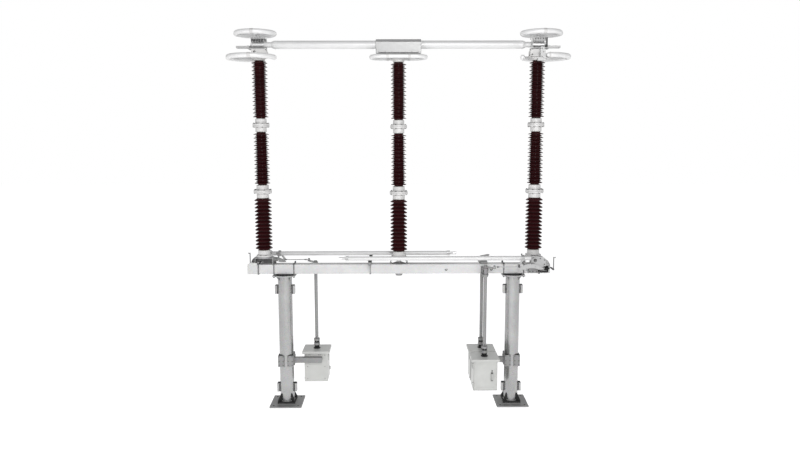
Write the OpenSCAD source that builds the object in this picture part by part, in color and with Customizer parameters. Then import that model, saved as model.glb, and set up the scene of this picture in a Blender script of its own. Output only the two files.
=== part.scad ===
// Three-column centre-rotating double-break disconnect switch with two earthing
// switches, on two tubular legs joined by a box beam.
// +X runs along the beam to the right, +Y to the rear, +Z up. The origin lies on the
// ground midway between the legs, on the axis of the turning column. The right side
// turned half a turn about Z gives the left side, apart from the main drive.

/* [Supports] */
// Distance of each leg from the centre
leg_x = 2190; // [1900:10:2300]
// Outer diameter of a leg tube
leg_d = 273; // [200:1:330]
// Wall of a leg tube
leg_wall = 8; // [5:1:20]
// Side of a square base plate
plate_w = 615; // [520:5:760]
// Thickness of a base plate
plate_t = 25; // [12:1:40]
// Distance between anchor holes of a base plate
anchor_pitch = 470; // [400:5:500]
// Diameter of an anchor hole
anchor_d = 36; // [20:1:45]
// Diameter of the round flange on top of a leg
leg_flange_d = 430; // [425:5:500]
// Thickness of that flange
leg_flange_t = 25; // [12:1:40]
// Thickness of the dark pad between flange and beam
pad_t = 25; // [10:1:35]

/* [Beam] */
// Height of the underside of the beam
beam_z = 2586; // [2240:1:3100]
// Height of the beam section
beam_h = 180; // [170:5:240]
// Width of the beam section
beam_w = 200; // [170:5:210]
// Wall of the beam section
beam_wall = 8; // [5:1:16]
// Half the length of the beam
beam_half = 2880; // [2870:10:3200]
// Distance of a leg clamp from the leg axis
clamp_dx = 190; // [175:1:198]
// Radius of a clamp stud
stud_r = 8; // [6:1:10]

/* [Columns] */
// Distance of the outer columns from the centre
col_x = 2570; // [2560:5:2620]
// Height of one insulator unit, flange to flange
unit_h = 1237; // [1130:1:1500]
// Height of the stool under an outer column
stool_h = 130; // [110:5:170]
// How much lower the turning column stands
centre_drop = 30; // [20:1:34]
// Distance between two large sheds
shed_pitch = 70; // [60:1:75]
// Radius of the large sheds on the upper units
shed_r = 144; // [125:1:160]
// Radius of the small sheds on the upper units
shed_small_r = 119; // [100:1:124]
// Radius of the porcelain core on the upper units
core_r = 86; // [60:1:95]
// Radius of the sheds on the lowest unit
shed_low_r = 162; // [140:1:175]
// Radius of the porcelain core on the lowest unit
core_low_r = 106; // [80:1:110]

/* [Main blade] */
// Height of the blade axis above the top of an outer column
blade_rise = 228; // [215:1:260]
// Radius of the blade tube
blade_r = 75; // [55:1:80]
// Wall of the blade tube
blade_wall = 6; // [4:1:12]
// Radius of the contact tube at each blade end
tip_r = 50; // [35:1:52]
// Distance of the blade tip from the turning axis, less the column distance
tip_past = 144; // [100:1:146]
// Radius of the tube of the grading rings
ring_tube_r = 45; // [30:1:48]
// Centreline radius of an upper grading ring
ring_top_r = 342; // [280:1:380]
// Centreline radius of a lower grading ring
ring_low_r = 419; // [400:1:450]

/* [Earthing blades] */
// Distance of each earthing blade from the beam axis, along Y
earth_y = 300; // [292:1:315]
// Radius of an earthing tube
earth_r = 42; // [30:1:44]
// Distance from a blade pivot to the tip of the contact rod
earth_reach = 3660; // [3200:5:3664]
// Radius of the contact rod at the tip
earth_tip_r = 27; // [18:1:27]
// Throw of the earthing cranks and levers
crank_r = 208; // [170:1:210]

/* [Main drive] */
// Distance of the vertical drive shafts from the centre, along X
shaft_x = 1628; // [1560:1:1680]
// Distance of the vertical drive shafts from the beam axis, along Y
shaft_y = 275; // [265:1:290]
// Radius of a vertical drive shaft
shaft_r = 32; // [22:1:33]
// Throw of the two main levers
lever_r = 240; // [215:1:250]
// Direction of the main levers when the switch is closed, from +X
lever_angle = 55; // [50:1:58]

/* [Cabinets] */
// Width of a cabinet body
cab_w = 450; // [380:5:500]
// Depth of a cabinet body
cab_d = 400; // [370:5:460]
// Height of a cabinet body
cab_h = 585; // [500:5:640]
// Height of the underside of a cabinet
cab_z = 400; // [330:5:460]
// Wall of a cabinet
cab_wall = 6; // [3:1:12]
// Thickness of a cabinet door
door_t = 18; // [12:1:22]
// Overhang of a cabinet lid on every side
lid_over = 40; // [30:1:44]
// Thickness of a cabinet lid
lid_t = 30; // [15:1:40]

/* [Clearances] */
// Gap between curved faces that touch, and at pivots
fit_gap = 0.3; // [0.2:0.05:0.5]
// Gap between a moving piece and what it passes
run_gap = 8; // [6:1:10]

/* [Hidden] */
$fn = 96;

galvanised = "#b4b7b8";
light_metal = "#d9dbdc";
dark_metal = "#3a3c3e";
glaze = "#3a1a1c";
cabinet_grey = "#b9bdb6";

// Heights worked out from the sizes above
beam_top = beam_z + beam_h;
seat_t = 22;
col_z = beam_top + stool_h + seat_t;
col_top = col_z + 3 * unit_h;
centre_z = col_z - centre_drop;
centre_top = centre_z + 3 * unit_h;
blade_z = col_top + blade_rise;
tip_x = col_x + tip_past;
leg_r = leg_d / 2;
flange_z = beam_z - pad_t - leg_flange_t;

// End fittings of the insulator units
cap_h = 120;
top_cap_h = 56;
low_cap_r = 115;
high_cap_r = 105;
low_flange_r = 170;
high_flange_r = 155;
flange_half_t = 28;

// Earthing pivot, in the plane of the right blade
pivot_x = col_x - 35;
pivot_z = beam_top + 124;
tube_lift = 26;
crank_d = crank_r * cos(45);
link_y = shaft_y + crank_d;
crank_plate_t = 16;
root_half_y = 75;
crank_y = min(earth_y + root_half_y + 13, link_y - crank_plate_t - 18);

// Levers on top of the earthing shafts, and their link
earth_lever_z = beam_top - 28;
earth_lever_t = 18;
link_eye_t = 18;
link_z = earth_lever_z + earth_lever_t + 6;
pin_r = 12;

// Main levers and their link
main_lever_t = 20;
main_lever_z = centre_z - 50;
main_link_z = main_lever_z - 40;
main_link_t = 20;
main_eye_r = 32;

// Cabinets: their back face and the hole for the shaft
cab_back_y = 70;
cab_x = shaft_x;
arm_half = 50;
arm_z = 865;
arm_end_x = shaft_x - 122;
clamp_wall = 10;
coupling_z = cab_z + cab_h + lid_t;
coupling_h = 200;
hinge_out = 10;
hinge_r = 10;
door_gap = 2;
hinge_y = -cab_d - door_gap - door_t / 2;
hinge_x = -cab_w / 2 - hinge_out;

// Blade rest
rest_x = -546;

// ---------- helpers ----------

// The children as drawn, and again half a turn about Z
module on_both_sides() {
    children();
    rotate([0, 0, 180]) children();
}

module cyl_x(r, x0, x1) translate([x0, 0, 0]) rotate([0, 90, 0]) cylinder(r = r, h = x1 - x0);

module cyl_y(r, y0, y1) translate([0, y1, 0]) rotate([90, 0, 0]) cylinder(r = r, h = y1 - y0);

// A box from its low corner to its high corner
module slab(low, high) translate(low) cube(high - low);

// An outline in X and Z, from y0 to y1
module upright(y0, y1) translate([0, y1, 0]) rotate([90, 0, 0]) linear_extrude(y1 - y0) children();

// A flat lever from the origin along +X, with round ends
module lever_outline(reach, r0, r1) {
    circle(r = r0);
    translate([reach, 0]) circle(r = r1);
    polygon([[0, -r0], [reach, -r1], [reach, r1], [0, r0]]);
}

// Part of a torus in the XY plane, from angle a0 over sweep degrees
module ring_arc(ring_r, tube_r, a0, sweep) {
    rotate([0, 0, a0]) rotate_extrude(angle = sweep, $fn = 200)
        translate([ring_r, 0]) circle(r = tube_r, $fn = 48);
}

// ---------- supports ----------

module base_plates() {
    color(galvanised) for (side = [-1, 1]) translate([side * leg_x, 0, 0])
        difference() {
            slab([-plate_w / 2, -plate_w / 2, 0], [plate_w / 2, plate_w / 2, plate_t]);
            for (ax = [-1, 1], ay = [-1, 1])
                translate([ax * anchor_pitch / 2, ay * anchor_pitch / 2, -1])
                    cylinder(d = anchor_d, h = plate_t + 2);
        }
}

// Four diagonal gussets on a square block round the foot of each leg
module base_gussets() {
    inner_r = leg_r + fit_gap;
    foot_half = leg_r + 30;
    foot_h = 45;
    gusset_out = 96;
    gusset_h = 190;
    gusset_t = 14;
    color(dark_metal) for (side = [-1, 1]) translate([side * leg_x, 0, plate_t])
        difference() {
            union() {
                slab([-foot_half, -foot_half, 0], [foot_half, foot_half, foot_h]);
                for (a = [45:90:315]) rotate([0, 0, a])
                    upright(-gusset_t / 2, gusset_t / 2)
                        polygon([[inner_r - 5, 0], [inner_r + gusset_out, 0], [inner_r + gusset_out, foot_h + 12],
                            [inner_r + 16, gusset_h], [inner_r - 5, gusset_h]]);
            }
            translate([0, 0, -1]) cylinder(r = inner_r, h = gusset_h + 2);
        }
}

module leg_ribs() {
    rib_t = 12;
    rib_h = 80;
    for (a = [45, 90, 135, 225, 270, 315]) rotate([0, 0, a])
        upright(-rib_t / 2, rib_t / 2)
            polygon([[leg_r - 2, flange_z - rib_h], [leg_r + 8, flange_z - rib_h],
                [leg_flange_d / 2 - 25, flange_z - 10], [leg_flange_d / 2 - 25, flange_z + 1],
                [leg_r - 2, flange_z + 1]]);
}

// Box lugs on both sides of a leg, near its top and its foot
module leg_lugs() {
    lug_h = 160;
    lug_out = 55;
    lug_half_y = 45;
    lug_levels = [240, flange_z - 350];
    for (z = lug_levels, side = [-1, 1]) translate([side * leg_r, 0, z])
        difference() {
            slab([-20, -lug_half_y, 0], [20, lug_half_y, lug_h]);
            slab([-1000, -1000, -1], [-21, 1000, 0]);
        }
    for (z = lug_levels, side = [-1, 1]) translate([side * (leg_r + lug_out / 2), 0, z])
        difference() {
            slab([-lug_out / 2, -lug_half_y, 0], [lug_out / 2, lug_half_y, lug_h]);
            slab([-lug_out / 2 + 18, -lug_half_y + 10, 12], [lug_out / 2 - 8, lug_half_y + 1, lug_h - 12]);
        }
}

module leg() {
    ear_half_x = 26;
    ear_half_y = 150;
    color(galvanised) difference() {
        union() {
            translate([0, 0, plate_t]) cylinder(r = leg_r, h = flange_z - plate_t);
            translate([0, 0, flange_z]) cylinder(d = leg_flange_d, h = leg_flange_t);
            for (side = [-1, 1]) translate([side * clamp_dx, 0, flange_z])
                slab([-ear_half_x, -ear_half_y, 0], [ear_half_x, ear_half_y, leg_flange_t]);
            leg_ribs();
            leg_lugs();
        }
        translate([0, 0, plate_t - 1]) cylinder(r = leg_r - leg_wall, h = flange_z - plate_t + 1);
        for (sx = [-1, 1], sy = [-1, 1]) translate([sx * clamp_dx, sy * (beam_w / 2 + stud_r + 2), flange_z - 1])
            cylinder(r = stud_r + 0.5, h = leg_flange_t + 2);
    }
}

module leg_left() translate([-leg_x, 0, 0]) leg();

module leg_right() translate([leg_x, 0, 0]) leg();

module leg_pads() {
    pad_r = 165;
    color("#151515") for (side = [-1, 1]) translate([side * leg_x, 0, beam_z - pad_t])
        cylinder(r = pad_r, h = pad_t);
}

module beam() {
    cap_t = 10;
    color(light_metal) difference() {
        slab([-beam_half, -beam_w / 2, beam_z], [beam_half, beam_w / 2, beam_top]);
        slab([-beam_half + cap_t, -beam_w / 2 + beam_wall, beam_z + beam_wall],
            [beam_half - cap_t, beam_w / 2 - beam_wall, beam_top - beam_wall]);
    }
}

// Two studs and an upper strap round the beam at x, with a strap below or nuts under the leg flange
module clamp_frame(x, lower_strap) {
    strap_half_x = 14;
    strap_half_y = beam_w / 2 + 2 * stud_r + 10;
    strap_t = 12;
    under_t = 8;
    nut_t = 14;
    stud_past = nut_t + 10;
    nut_r = stud_r + 8;
    stud_y = beam_w / 2 + stud_r + 2;
    low_z = lower_strap ? beam_z - under_t : flange_z - stud_past;
    translate([x, 0, 0]) {
        slab([-strap_half_x, -strap_half_y, beam_top], [strap_half_x, strap_half_y, beam_top + strap_t]);
        if (lower_strap)
            slab([-strap_half_x, -strap_half_y, low_z], [strap_half_x, strap_half_y, beam_z]);
        for (sy = [-1, 1]) translate([0, sy * stud_y, 0]) {
            translate([0, 0, low_z]) cylinder(r = stud_r, h = beam_top + strap_t + stud_past - low_z);
            if (!lower_strap)
                translate([0, 0, flange_z - nut_t]) cylinder(r = nut_r, h = nut_t, $fn = 6);
            translate([0, 0, beam_top + strap_t]) cylinder(r = nut_r, h = nut_t, $fn = 6);
        }
    }
}

module beam_clamps() {
    end_clamp_x = col_x + 103;
    color(dark_metal) {
        for (side = [-1, 1], dx = [-clamp_dx, clamp_dx]) clamp_frame(side * leg_x + dx, false);
        for (side = [-1, 1]) clamp_frame(side * end_clamp_x, true);
    }
}

// Cheek plates with one cut corner at the beam ends, on the side away from the earthing hinge
module end_cheeks() {
    cheek_t = 12;
    cheek_in = beam_half - 182;
    color(galvanised) on_both_sides()
        upright(beam_w / 2, beam_w / 2 + cheek_t)
            polygon([[cheek_in, beam_z], [beam_half, beam_z], [beam_half, beam_top + 4],
                [beam_half - 42, beam_top + 34], [cheek_in, beam_top + 34]]);
}

// ---------- drive cabinets ----------

// Two C-shaped brackets that grip each leg at the height of the arm
module arm_clamps() {
    low = arm_z - 99;
    high = arm_z + 123;
    inner = leg_r + fit_gap;
    outer = inner + clamp_wall;
    lip = 30;
    color(galvanised) for (side = [-1, 1], half = [-1, 1]) translate([side * leg_x, 0, low])
        linear_extrude(high - low) difference() {
            translate([half > 0 ? lip : -outer, -outer]) square([outer - lip, 2 * outer]);
            translate([half > 0 ? lip - 1 : -inner, -inner]) square([inner - lip + 1, 2 * inner]);
        }
}

module drive_arms() {
    end_t = 12;
    clamp_face = leg_x - leg_r - fit_gap - clamp_wall;
    arm_wall = 6;
    color(galvanised) for (side = [-1, 1]) scale([side, 1, 1]) difference() {
        union() {
            slab([clamp_face - end_t, -80, arm_z - 90], [clamp_face, 80, arm_z + 90]);
            slab([arm_end_x, -arm_half, arm_z - arm_half], [clamp_face - end_t + 1, arm_half, arm_z + arm_half]);
        }
        slab([arm_end_x - 1, -arm_half + arm_wall, arm_z - arm_half + arm_wall],
            [clamp_face - end_t, arm_half - arm_wall, arm_z + arm_half - arm_wall]);
    }
}

// Plates between an arm and the backs of the cabinets
module cabinet_mounts() {
    plate_x0 = arm_end_x + 14;
    plate_x1 = cab_x + cab_w / 2 - 50;
    color(galvanised) for (place = [[-1, 1], [1, 1], [1, -1]]) scale([place[0], place[1], 1])
        slab([plate_x0, arm_half, arm_z - 100], [plate_x1, cab_back_y, arm_z + 100]);
}

// A cabinet body whose back is at y = 0 and whose door side faces -Y
module cabinet_body() {
    lip = 28;
    shaft_hole_r = 42;
    color(cabinet_grey) difference() {
        union() {
            slab([-cab_w / 2, -cab_d, 0], [cab_w / 2, 0, cab_h]);
            slab([-cab_w / 2 - lid_over, -cab_d - lid_over, cab_h],
                [cab_w / 2 + lid_over, lid_over, cab_h + lid_t]);
            for (z = [0.18, 0.82]) translate([hinge_x, hinge_y, z * cab_h]) {
                cylinder(r = hinge_r, h = 30);
                slab([0, -3, 0], [-hinge_x - cab_w / 2 + cab_wall, 3, 30]);
                slab([hinge_out - 3, -3, 0], [hinge_out + cab_wall, cab_wall + door_gap + door_t / 2, 30]);
            }
        }
        slab([-cab_w / 2 + cab_wall, -cab_d + cab_wall, cab_wall], [cab_w / 2 - cab_wall, -cab_wall, cab_h]);
        slab([-cab_w / 2 + lip, -cab_d - 1, lip], [cab_w / 2 - lip, -cab_d + cab_wall + 1, cab_h - lip]);
        translate([0, cab_back_y - shaft_y, cab_h - 1]) cylinder(r = shaft_hole_r, h = lid_t + 2);
    }
}

// The closed door of a cabinet, with its long handle
module cabinet_door() {
    edge = 10;
    handle_x = cab_w / 2 - 102;
    handle_z = cab_h * 0.475;
    color(cabinet_grey) {
        slab([-cab_w / 2 + edge, -cab_d - door_gap - door_t, 18],
            [cab_w / 2 - edge, -cab_d - door_gap, cab_h - 18]);
        for (z = [0.18, 0.82]) translate([hinge_x, hinge_y, z * cab_h + 30 + fit_gap]) {
            cylinder(r = hinge_r, h = 30);
            slab([0, -3, 0], [hinge_out + edge + 5, 3, 30]);
        }
    }
    color("#161616") translate([handle_x, -cab_d - door_gap - door_t, handle_z]) {
        slab([-14, -14, -65], [14, 1, 65]);
        slab([-9, -34, -55], [9, -13, 62]);
    }
}

module at_front() translate([cab_x, -cab_back_y, cab_z]) children();

module at_rear() translate([cab_x, cab_back_y, cab_z]) rotate([0, 0, 180]) children();

module at_left() translate([-cab_x, cab_back_y, cab_z]) rotate([0, 0, 180]) children();

module cabinet_front() at_front() cabinet_body();

module cabinet_rear() at_rear() cabinet_body();

module cabinet_left() at_left() cabinet_body();

module door_front() at_front() cabinet_door();

module door_rear() at_rear() cabinet_door();

module door_left() at_left() cabinet_door();

// A plain gear unit on the back wall of each cabinet, under the shaft
module drive_unit() {
    top = cab_h - 90;
    color("#6f7577") difference() {
        union() {
            slab([-90, cab_back_y - shaft_y - 85, 190], [90, -cab_wall, top]);
            translate([0, cab_back_y - shaft_y, 70]) cylinder(r = 62, h = 121);
            translate([0, cab_back_y - shaft_y, top - 1]) cylinder(r = 40, h = 31);
        }
        translate([0, cab_back_y - shaft_y, top - 10]) cylinder(r = 18 + fit_gap, h = 50);
    }
}

module drive_units() {
    at_front() drive_unit();
    at_rear() drive_unit();
    at_left() drive_unit();
}

// ---------- drive shafts and links ----------

// A vertical shaft with its coupling, at the origin of X and Y, up to top_z
module shaft(top_z) {
    stub_r = 18;
    stub_low = cab_z + cab_h - 98;
    color(galvanised) {
        translate([0, 0, stub_low]) cylinder(r = stub_r, h = coupling_z + 10 - stub_low);
        translate([0, 0, coupling_z + 4]) cylinder(r = 38, h = 70);
        translate([0, 0, coupling_z + 70]) cylinder(r = 58, h = 46);
        translate([0, 0, coupling_z + 112]) cylinder(r = 46, h = coupling_h - 150);
        translate([0, 0, coupling_z + coupling_h - 42]) cylinder(r = 58, h = 42);
        translate([0, 0, coupling_z + coupling_h - 1])
            cylinder(r = shaft_r, h = top_z - coupling_z - coupling_h + 1);
    }
}

// The shaft of an earthing switch, its lever pointing out and to the front
module earth_shaft() {
    top_z = earth_lever_z + earth_lever_t + 24;
    translate([shaft_x, -shaft_y, 0]) {
        shaft(top_z);
        color(galvanised) rotate([0, 0, -45]) {
            translate([0, 0, earth_lever_z]) linear_extrude(earth_lever_t) lever_outline(crank_r, 48, 28);
            translate([crank_r, 0, earth_lever_z]) cylinder(r = pin_r, h = earth_lever_t + 6 + link_eye_t + 8);
        }
    }
}

module shaft_front() earth_shaft();

module shaft_left() rotate([0, 0, 180]) earth_shaft();

module shaft_main() {
    translate([shaft_x, shaft_y, 0]) {
        shaft(main_lever_z + main_lever_t + 12);
        color(galvanised) rotate([0, 0, lever_angle]) {
            translate([0, 0, main_lever_z]) linear_extrude(main_lever_t) lever_outline(lever_r, 55, 34);
            translate([lever_r, 0, main_link_z - 8]) cylinder(r = pin_r, h = main_lever_z - main_link_z + 9);
        }
    }
}

// The rod from the lever on the main shaft to the lever on the turning column
module main_link() {
    rod_r = 16;
    tip = [lever_r * cos(lever_angle), lever_r * sin(lever_angle)];
    run = sqrt(shaft_x * shaft_x + shaft_y * shaft_y);
    color(galvanised) translate([tip[0], tip[1], main_link_z]) rotate([0, 0, atan2(shaft_y, shaft_x)])
        difference() {
            union() {
                for (x = [0, run]) translate([x, 0, 0]) cylinder(r = main_eye_r, h = main_link_t);
                translate([0, 0, main_link_t / 2]) cyl_x(rod_r, 20, run - 20);
            }
            for (x = [0, run]) translate([x, 0, -rod_r]) cylinder(r = pin_r + 0.5, h = main_link_t + 2 * rod_r);
        }
}

// The crescent plate at the hinge end of an earthing link
module crescent_outline() {
    outer_r = 345;
    inner_r = 300;
    top = pivot_z - 62;
    middle_x = pivot_x - 75;
    difference() {
        intersection() {
            translate([middle_x, top - outer_r]) circle(r = outer_r, $fn = 180);
            translate([middle_x - 232, top - 108]) square([470, 110]);
        }
        translate([middle_x + 12, top - 80 - inner_r]) circle(r = inner_r, $fn = 180);
    }
}

module earth_link() {
    rod_r = 9;
    eye_x = shaft_x + crank_d;
    crescent_in = pivot_x - 75 - 200;
    color(light_metal) difference() {
        union() {
            translate([eye_x, -link_y, link_z]) cylinder(r = 26, h = link_eye_t);
            translate([0, -link_y, link_z + link_eye_t / 2]) cyl_x(rod_r, eye_x + 15, crescent_in + 30);
            upright(-link_y - 6, -link_y + 6) crescent_outline();
        }
        translate([eye_x, -link_y, link_z - 1]) cylinder(r = pin_r + fit_gap, h = link_eye_t + 2);
        for (p = [[-160, -144], [-65, -70], [2, -118]]) translate([pivot_x + p[0], -link_y, pivot_z + p[1]])
            cyl_y(8, -20, 20);
    }
}

module earth_link_right() earth_link();

module earth_link_left() rotate([0, 0, 180]) earth_link();

// Bearing bracket of an earthing shaft on the face of the beam
module earth_shaft_bearing() {
    plate_t = 12;
    top_z = earth_lever_z - 24;
    bore_r = shaft_r + fit_gap;
    translate([shaft_x, 0, 0]) difference() {
        union() {
            slab([-70, -beam_w / 2 - plate_t, beam_z], [70, -beam_w / 2, earth_lever_z - 10]);
            for (z = [beam_z, top_z - 16]) translate([0, 0, z]) linear_extrude(16)
                polygon([[-70, -beam_w / 2 - 1], [-58, -shaft_y - 20], [-30, -shaft_y - 52], [30, -shaft_y - 52],
                    [58, -shaft_y - 20], [70, -beam_w / 2 - 1]]);
            translate([0, -shaft_y, beam_z - 34]) cylinder(r1 = 44, r2 = 56, h = 36);
            translate([0, -shaft_y, top_z - 17]) cylinder(r = 48, h = 28);
            for (x = [-46, 36]) translate([x, 0, 0])
                slab([0, -shaft_y + 40, beam_z + 15], [10, -beam_w / 2 - 5, top_z - 15]);
        }
        translate([0, -shaft_y, beam_z - 40]) cylinder(r = bore_r, h = 300);
    }
}

// Bearing plate of the main shaft, widening to the rear on top of the beam
module main_shaft_bearing() {
    bore_r = shaft_r + fit_gap;
    translate([shaft_x, 0, beam_top]) difference() {
        union() {
            linear_extrude(20) polygon([[-62, -beam_w / 2], [62, -beam_w / 2], [92, shaft_y - 60], [58, shaft_y + 48],
                [-58, shaft_y + 48], [-92, shaft_y - 60]]);
            translate([0, shaft_y, -60]) cylinder(r = 50, h = 60);
            translate([0, shaft_y, 0]) cylinder(r = 50, h = 38);
        }
        translate([0, shaft_y, -61]) cylinder(r = bore_r, h = 120);
    }
}

module shaft_bearings() {
    color(galvanised) {
        on_both_sides() earth_shaft_bearing();
        main_shaft_bearing();
    }
}

// ---------- turning column ----------

// Bell-shaped bearing on the beam, its four studs, and its cap under the beam
module centre_bearing() {
    bell_h = main_lever_z - beam_top - 42;
    neck_r = 44;
    color(galvanised) {
        translate([0, 0, beam_top]) rotate_extrude()
            polygon([[0, 0], [128, 0], [128, 9], [112, 14], [70, bell_h], [neck_r + fit_gap, bell_h],
                [neck_r + fit_gap, 8], [0, 8]]);
        translate([0, 0, beam_z - 48]) cylinder(r1 = 62, r2 = 75, h = 48);
    }
    color(dark_metal) for (sx = [-1, 1], sy = [-1, 1]) translate([sx * 155, sy * 78, beam_top]) {
        cylinder(r = 11, h = 62);
        cylinder(r = 18, h = 14, $fn = 6);
    }
}

module rotor_base() {
    neck_r = 44;
    color(light_metal) {
        translate([0, 0, beam_top + 8 + fit_gap]) cylinder(r = neck_r, h = main_lever_z - beam_top - 7 - fit_gap);
        translate([0, 0, main_lever_z]) cylinder(r = 92, h = main_lever_t + 1);
        translate([0, 0, main_lever_z + main_lever_t]) cylinder(r = 150, h = centre_z - main_lever_z - main_lever_t);
        rotate([0, 0, lever_angle]) {
            translate([0, 0, main_lever_z]) linear_extrude(main_lever_t) lever_outline(lever_r, 80, 34);
            translate([lever_r, 0, main_link_z - 8]) cylinder(r = pin_r, h = main_lever_z - main_link_z + 9);
        }
    }
}

module rotor_head() {
    cradle_half_x = 170;
    cradle_half_y = 105;
    color(light_metal) difference() {
        union() {
            translate([0, 0, centre_top]) cylinder(r1 = 135, r2 = 95, h = 100);
            slab([-cradle_half_x, -cradle_half_y, centre_top + 98], [cradle_half_x, cradle_half_y, blade_z - 20]);
        }
        translate([0, 0, blade_z]) cyl_x(blade_r + fit_gap, -cradle_half_x - 1, cradle_half_x + 1);
    }
}

// The hood over the middle of the blade, open below, with bevelled top edges
module blade_hood() {
    half_x = 410;
    half_y = 150;
    wall = 6;
    low = blade_z - 172;
    high = blade_z + 88;
    bevel = 55;
    color(light_metal) difference() {
        translate([-half_x, 0, 0]) rotate([90, 0, 90]) linear_extrude(2 * half_x)
            polygon([[-half_y, low], [half_y, low], [half_y, high - bevel], [half_y - bevel, high],
                [-half_y + bevel, high], [-half_y, high - bevel]]);
        translate([-half_x + wall, 0, 0]) rotate([90, 0, 90]) linear_extrude(2 * half_x - 2 * wall)
            polygon([[-half_y + wall, low - 1], [half_y - wall, low - 1], [half_y - wall, high - bevel - 3],
                [half_y - bevel - 3, high - wall], [-half_y + bevel + 3, high - wall],
                [-half_y + wall, high - bevel - 3]]);
        translate([0, 0, blade_z]) cyl_x(blade_r + fit_gap, -half_x - 1, half_x + 1);
    }
}

blade_end = col_x - 240;

module main_blade() {
    color(light_metal) translate([0, 0, blade_z]) rotate([0, 90, 0]) rotate_extrude()
        polygon([[blade_r, -blade_end + 40], [blade_r, blade_end - 40],
            [tip_r + 8, blade_end], [tip_r + fit_gap, blade_end], [tip_r + fit_gap, blade_end - 34],
            [blade_r - blade_wall, blade_end - 60], [blade_r - blade_wall, -blade_end + 60],
            [tip_r + fit_gap, -blade_end + 34], [tip_r + fit_gap, -blade_end], [tip_r + 8, -blade_end]]);
}

module blade_tips() {
    nose = 14;
    inner = tip_r - 10;
    color(light_metal) on_both_sides() translate([blade_end - 90, 0, blade_z]) rotate([0, 90, 0]) rotate_extrude()
        polygon([[inner, 0], [tip_r, 0], [tip_r, tip_x - blade_end + 90 - nose],
            [tip_r - nose, tip_x - blade_end + 90], [0, tip_x - blade_end + 90],
            [0, tip_x - blade_end + 60], [inner, tip_x - blade_end + 60]]);
}

// Rounded rectangular grading ring round the head of the turning column
module centre_ring() {
    tube_r = 38;
    half_x = 502;
    half_y = 230;
    corner = 190;
    ring_z = centre_top + 32;
    strap_t = 10;
    color(light_metal) {
        translate([0, 0, ring_z]) {
            for (sx = [-1, 1], sy = [-1, 1]) translate([sx * (half_x - corner), sy * (half_y - corner), 0])
                ring_arc(corner, tube_r, sx > 0 ? (sy > 0 ? 0 : 270) : (sy > 0 ? 90 : 180), 90);
            for (sy = [-1, 1]) translate([0, sy * half_y, 0])
                cyl_x(tube_r, -half_x + corner, half_x - corner);
            for (sx = [-1, 1]) translate([sx * half_x, 0, 0])
                cyl_y(tube_r, -half_y + corner, half_y - corner);
        }
        difference() {
            union() {
                for (x = [-220, 180]) slab([x, -half_y, ring_z + 5], [x + 40, half_y, ring_z + 5 + strap_t]);
                slab([-220, -50, ring_z + 5], [220, 50, ring_z + 5 + strap_t]);
            }
            translate([0, 0, centre_top]) cylinder(r1 = 135 + fit_gap, r2 = 95 + fit_gap, h = 100);
        }
    }
}

// ---------- insulator columns ----------

// Points of one shed: under side, rim, upper side
function shed(core, rim, z, rise) = [[core, z - 9], [rim - 6, z - 9], [rim, z - 4], [core + 4, z + rise]];

// Outline of a unit whose large sheds take turns with small ones
function mixed_outline(h, count) = concat([[0, 0], [core_r, 0]],
    [for (i = [0:2 * count - 2]) each shed(core_r, i % 2 == 0 ? shed_r : shed_small_r,
        (h - (count - 1) * shed_pitch) / 2 + i * shed_pitch / 2, 14)],
    [[core_r, h], [0, h]]);

// Outline of a unit with one size of shed on a thick core
function plain_outline(h, count) = concat([[0, 0], [core_low_r - 14, 0], [core_low_r - 14, 18]],
    [for (i = [0:count - 1]) each shed(core_low_r, shed_low_r,
        (h - (count - 1) * shed_pitch) / 2 + i * shed_pitch, 34)],
    [[core_low_r - 14, h - 16], [core_low_r - 14, h], [0, h]]);

// How many large sheds fit in a height, with some left bare
function shed_count(h, bare) = floor((h - bare) / shed_pitch) + 1;

module porcelain(z0, low_cap) {
    low_h = unit_h - cap_h - low_cap;
    mid_h = unit_h - 2 * cap_h;
    top_h = unit_h - cap_h - top_cap_h;
    color(glaze) {
        translate([0, 0, z0 + low_cap]) rotate_extrude() polygon(plain_outline(low_h, shed_count(low_h, 60)));
        translate([0, 0, z0 + unit_h + cap_h]) rotate_extrude()
            polygon(mixed_outline(mid_h, shed_count(mid_h, 30)));
        translate([0, 0, z0 + 2 * unit_h + cap_h]) rotate_extrude()
            polygon(mixed_outline(top_h, shed_count(top_h, 30)));
    }
}

// Two end fittings bolted together at a joint
module joint_fitting(cap_r, flange_r) {
    wall = 18;
    color(light_metal) difference() {
        rotate_extrude()
            polygon([[0, -cap_h], [cap_r - 4, -cap_h], [cap_r, -cap_h + 6], [cap_r, -flange_half_t - 14],
                [cap_r + 14, -flange_half_t], [flange_r, -flange_half_t], [flange_r, -2], [flange_r - 8, 0],
                [flange_r, 2], [flange_r, flange_half_t], [cap_r + 14, flange_half_t],
                [cap_r, flange_half_t + 14], [cap_r, cap_h - 6], [cap_r - 4, cap_h], [0, cap_h]]);
        translate([0, 0, -cap_h + wall]) cylinder(r = cap_r - wall, h = 2 * (cap_h - wall));
    }
}

module fittings(z0, low_cap) {
    translate([0, 0, z0 + unit_h]) joint_fitting(low_cap_r, low_flange_r);
    translate([0, 0, z0 + 2 * unit_h]) joint_fitting(high_cap_r, high_flange_r);
    color(light_metal) translate([0, 0, z0]) rotate_extrude()
        polygon([[0, 0], [149, 0], [149, 20], [low_cap_r + 12, 32], [low_cap_r, 48], [low_cap_r, low_cap - 6],
            [low_cap_r - 4, low_cap], [0, low_cap]]);
    color(light_metal) translate([0, 0, z0 + 3 * unit_h - top_cap_h]) rotate_extrude()
        polygon([[0, 0], [high_cap_r - 4, 0], [high_cap_r, 6], [high_cap_r, top_cap_h - 26],
            [134, top_cap_h - 20], [134, top_cap_h], [0, top_cap_h]]);
}

centre_low_cap = 118;

module porcelain_right() translate([col_x, 0, 0]) porcelain(col_z, cap_h);

module porcelain_left() translate([-col_x, 0, 0]) porcelain(col_z, cap_h);

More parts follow.
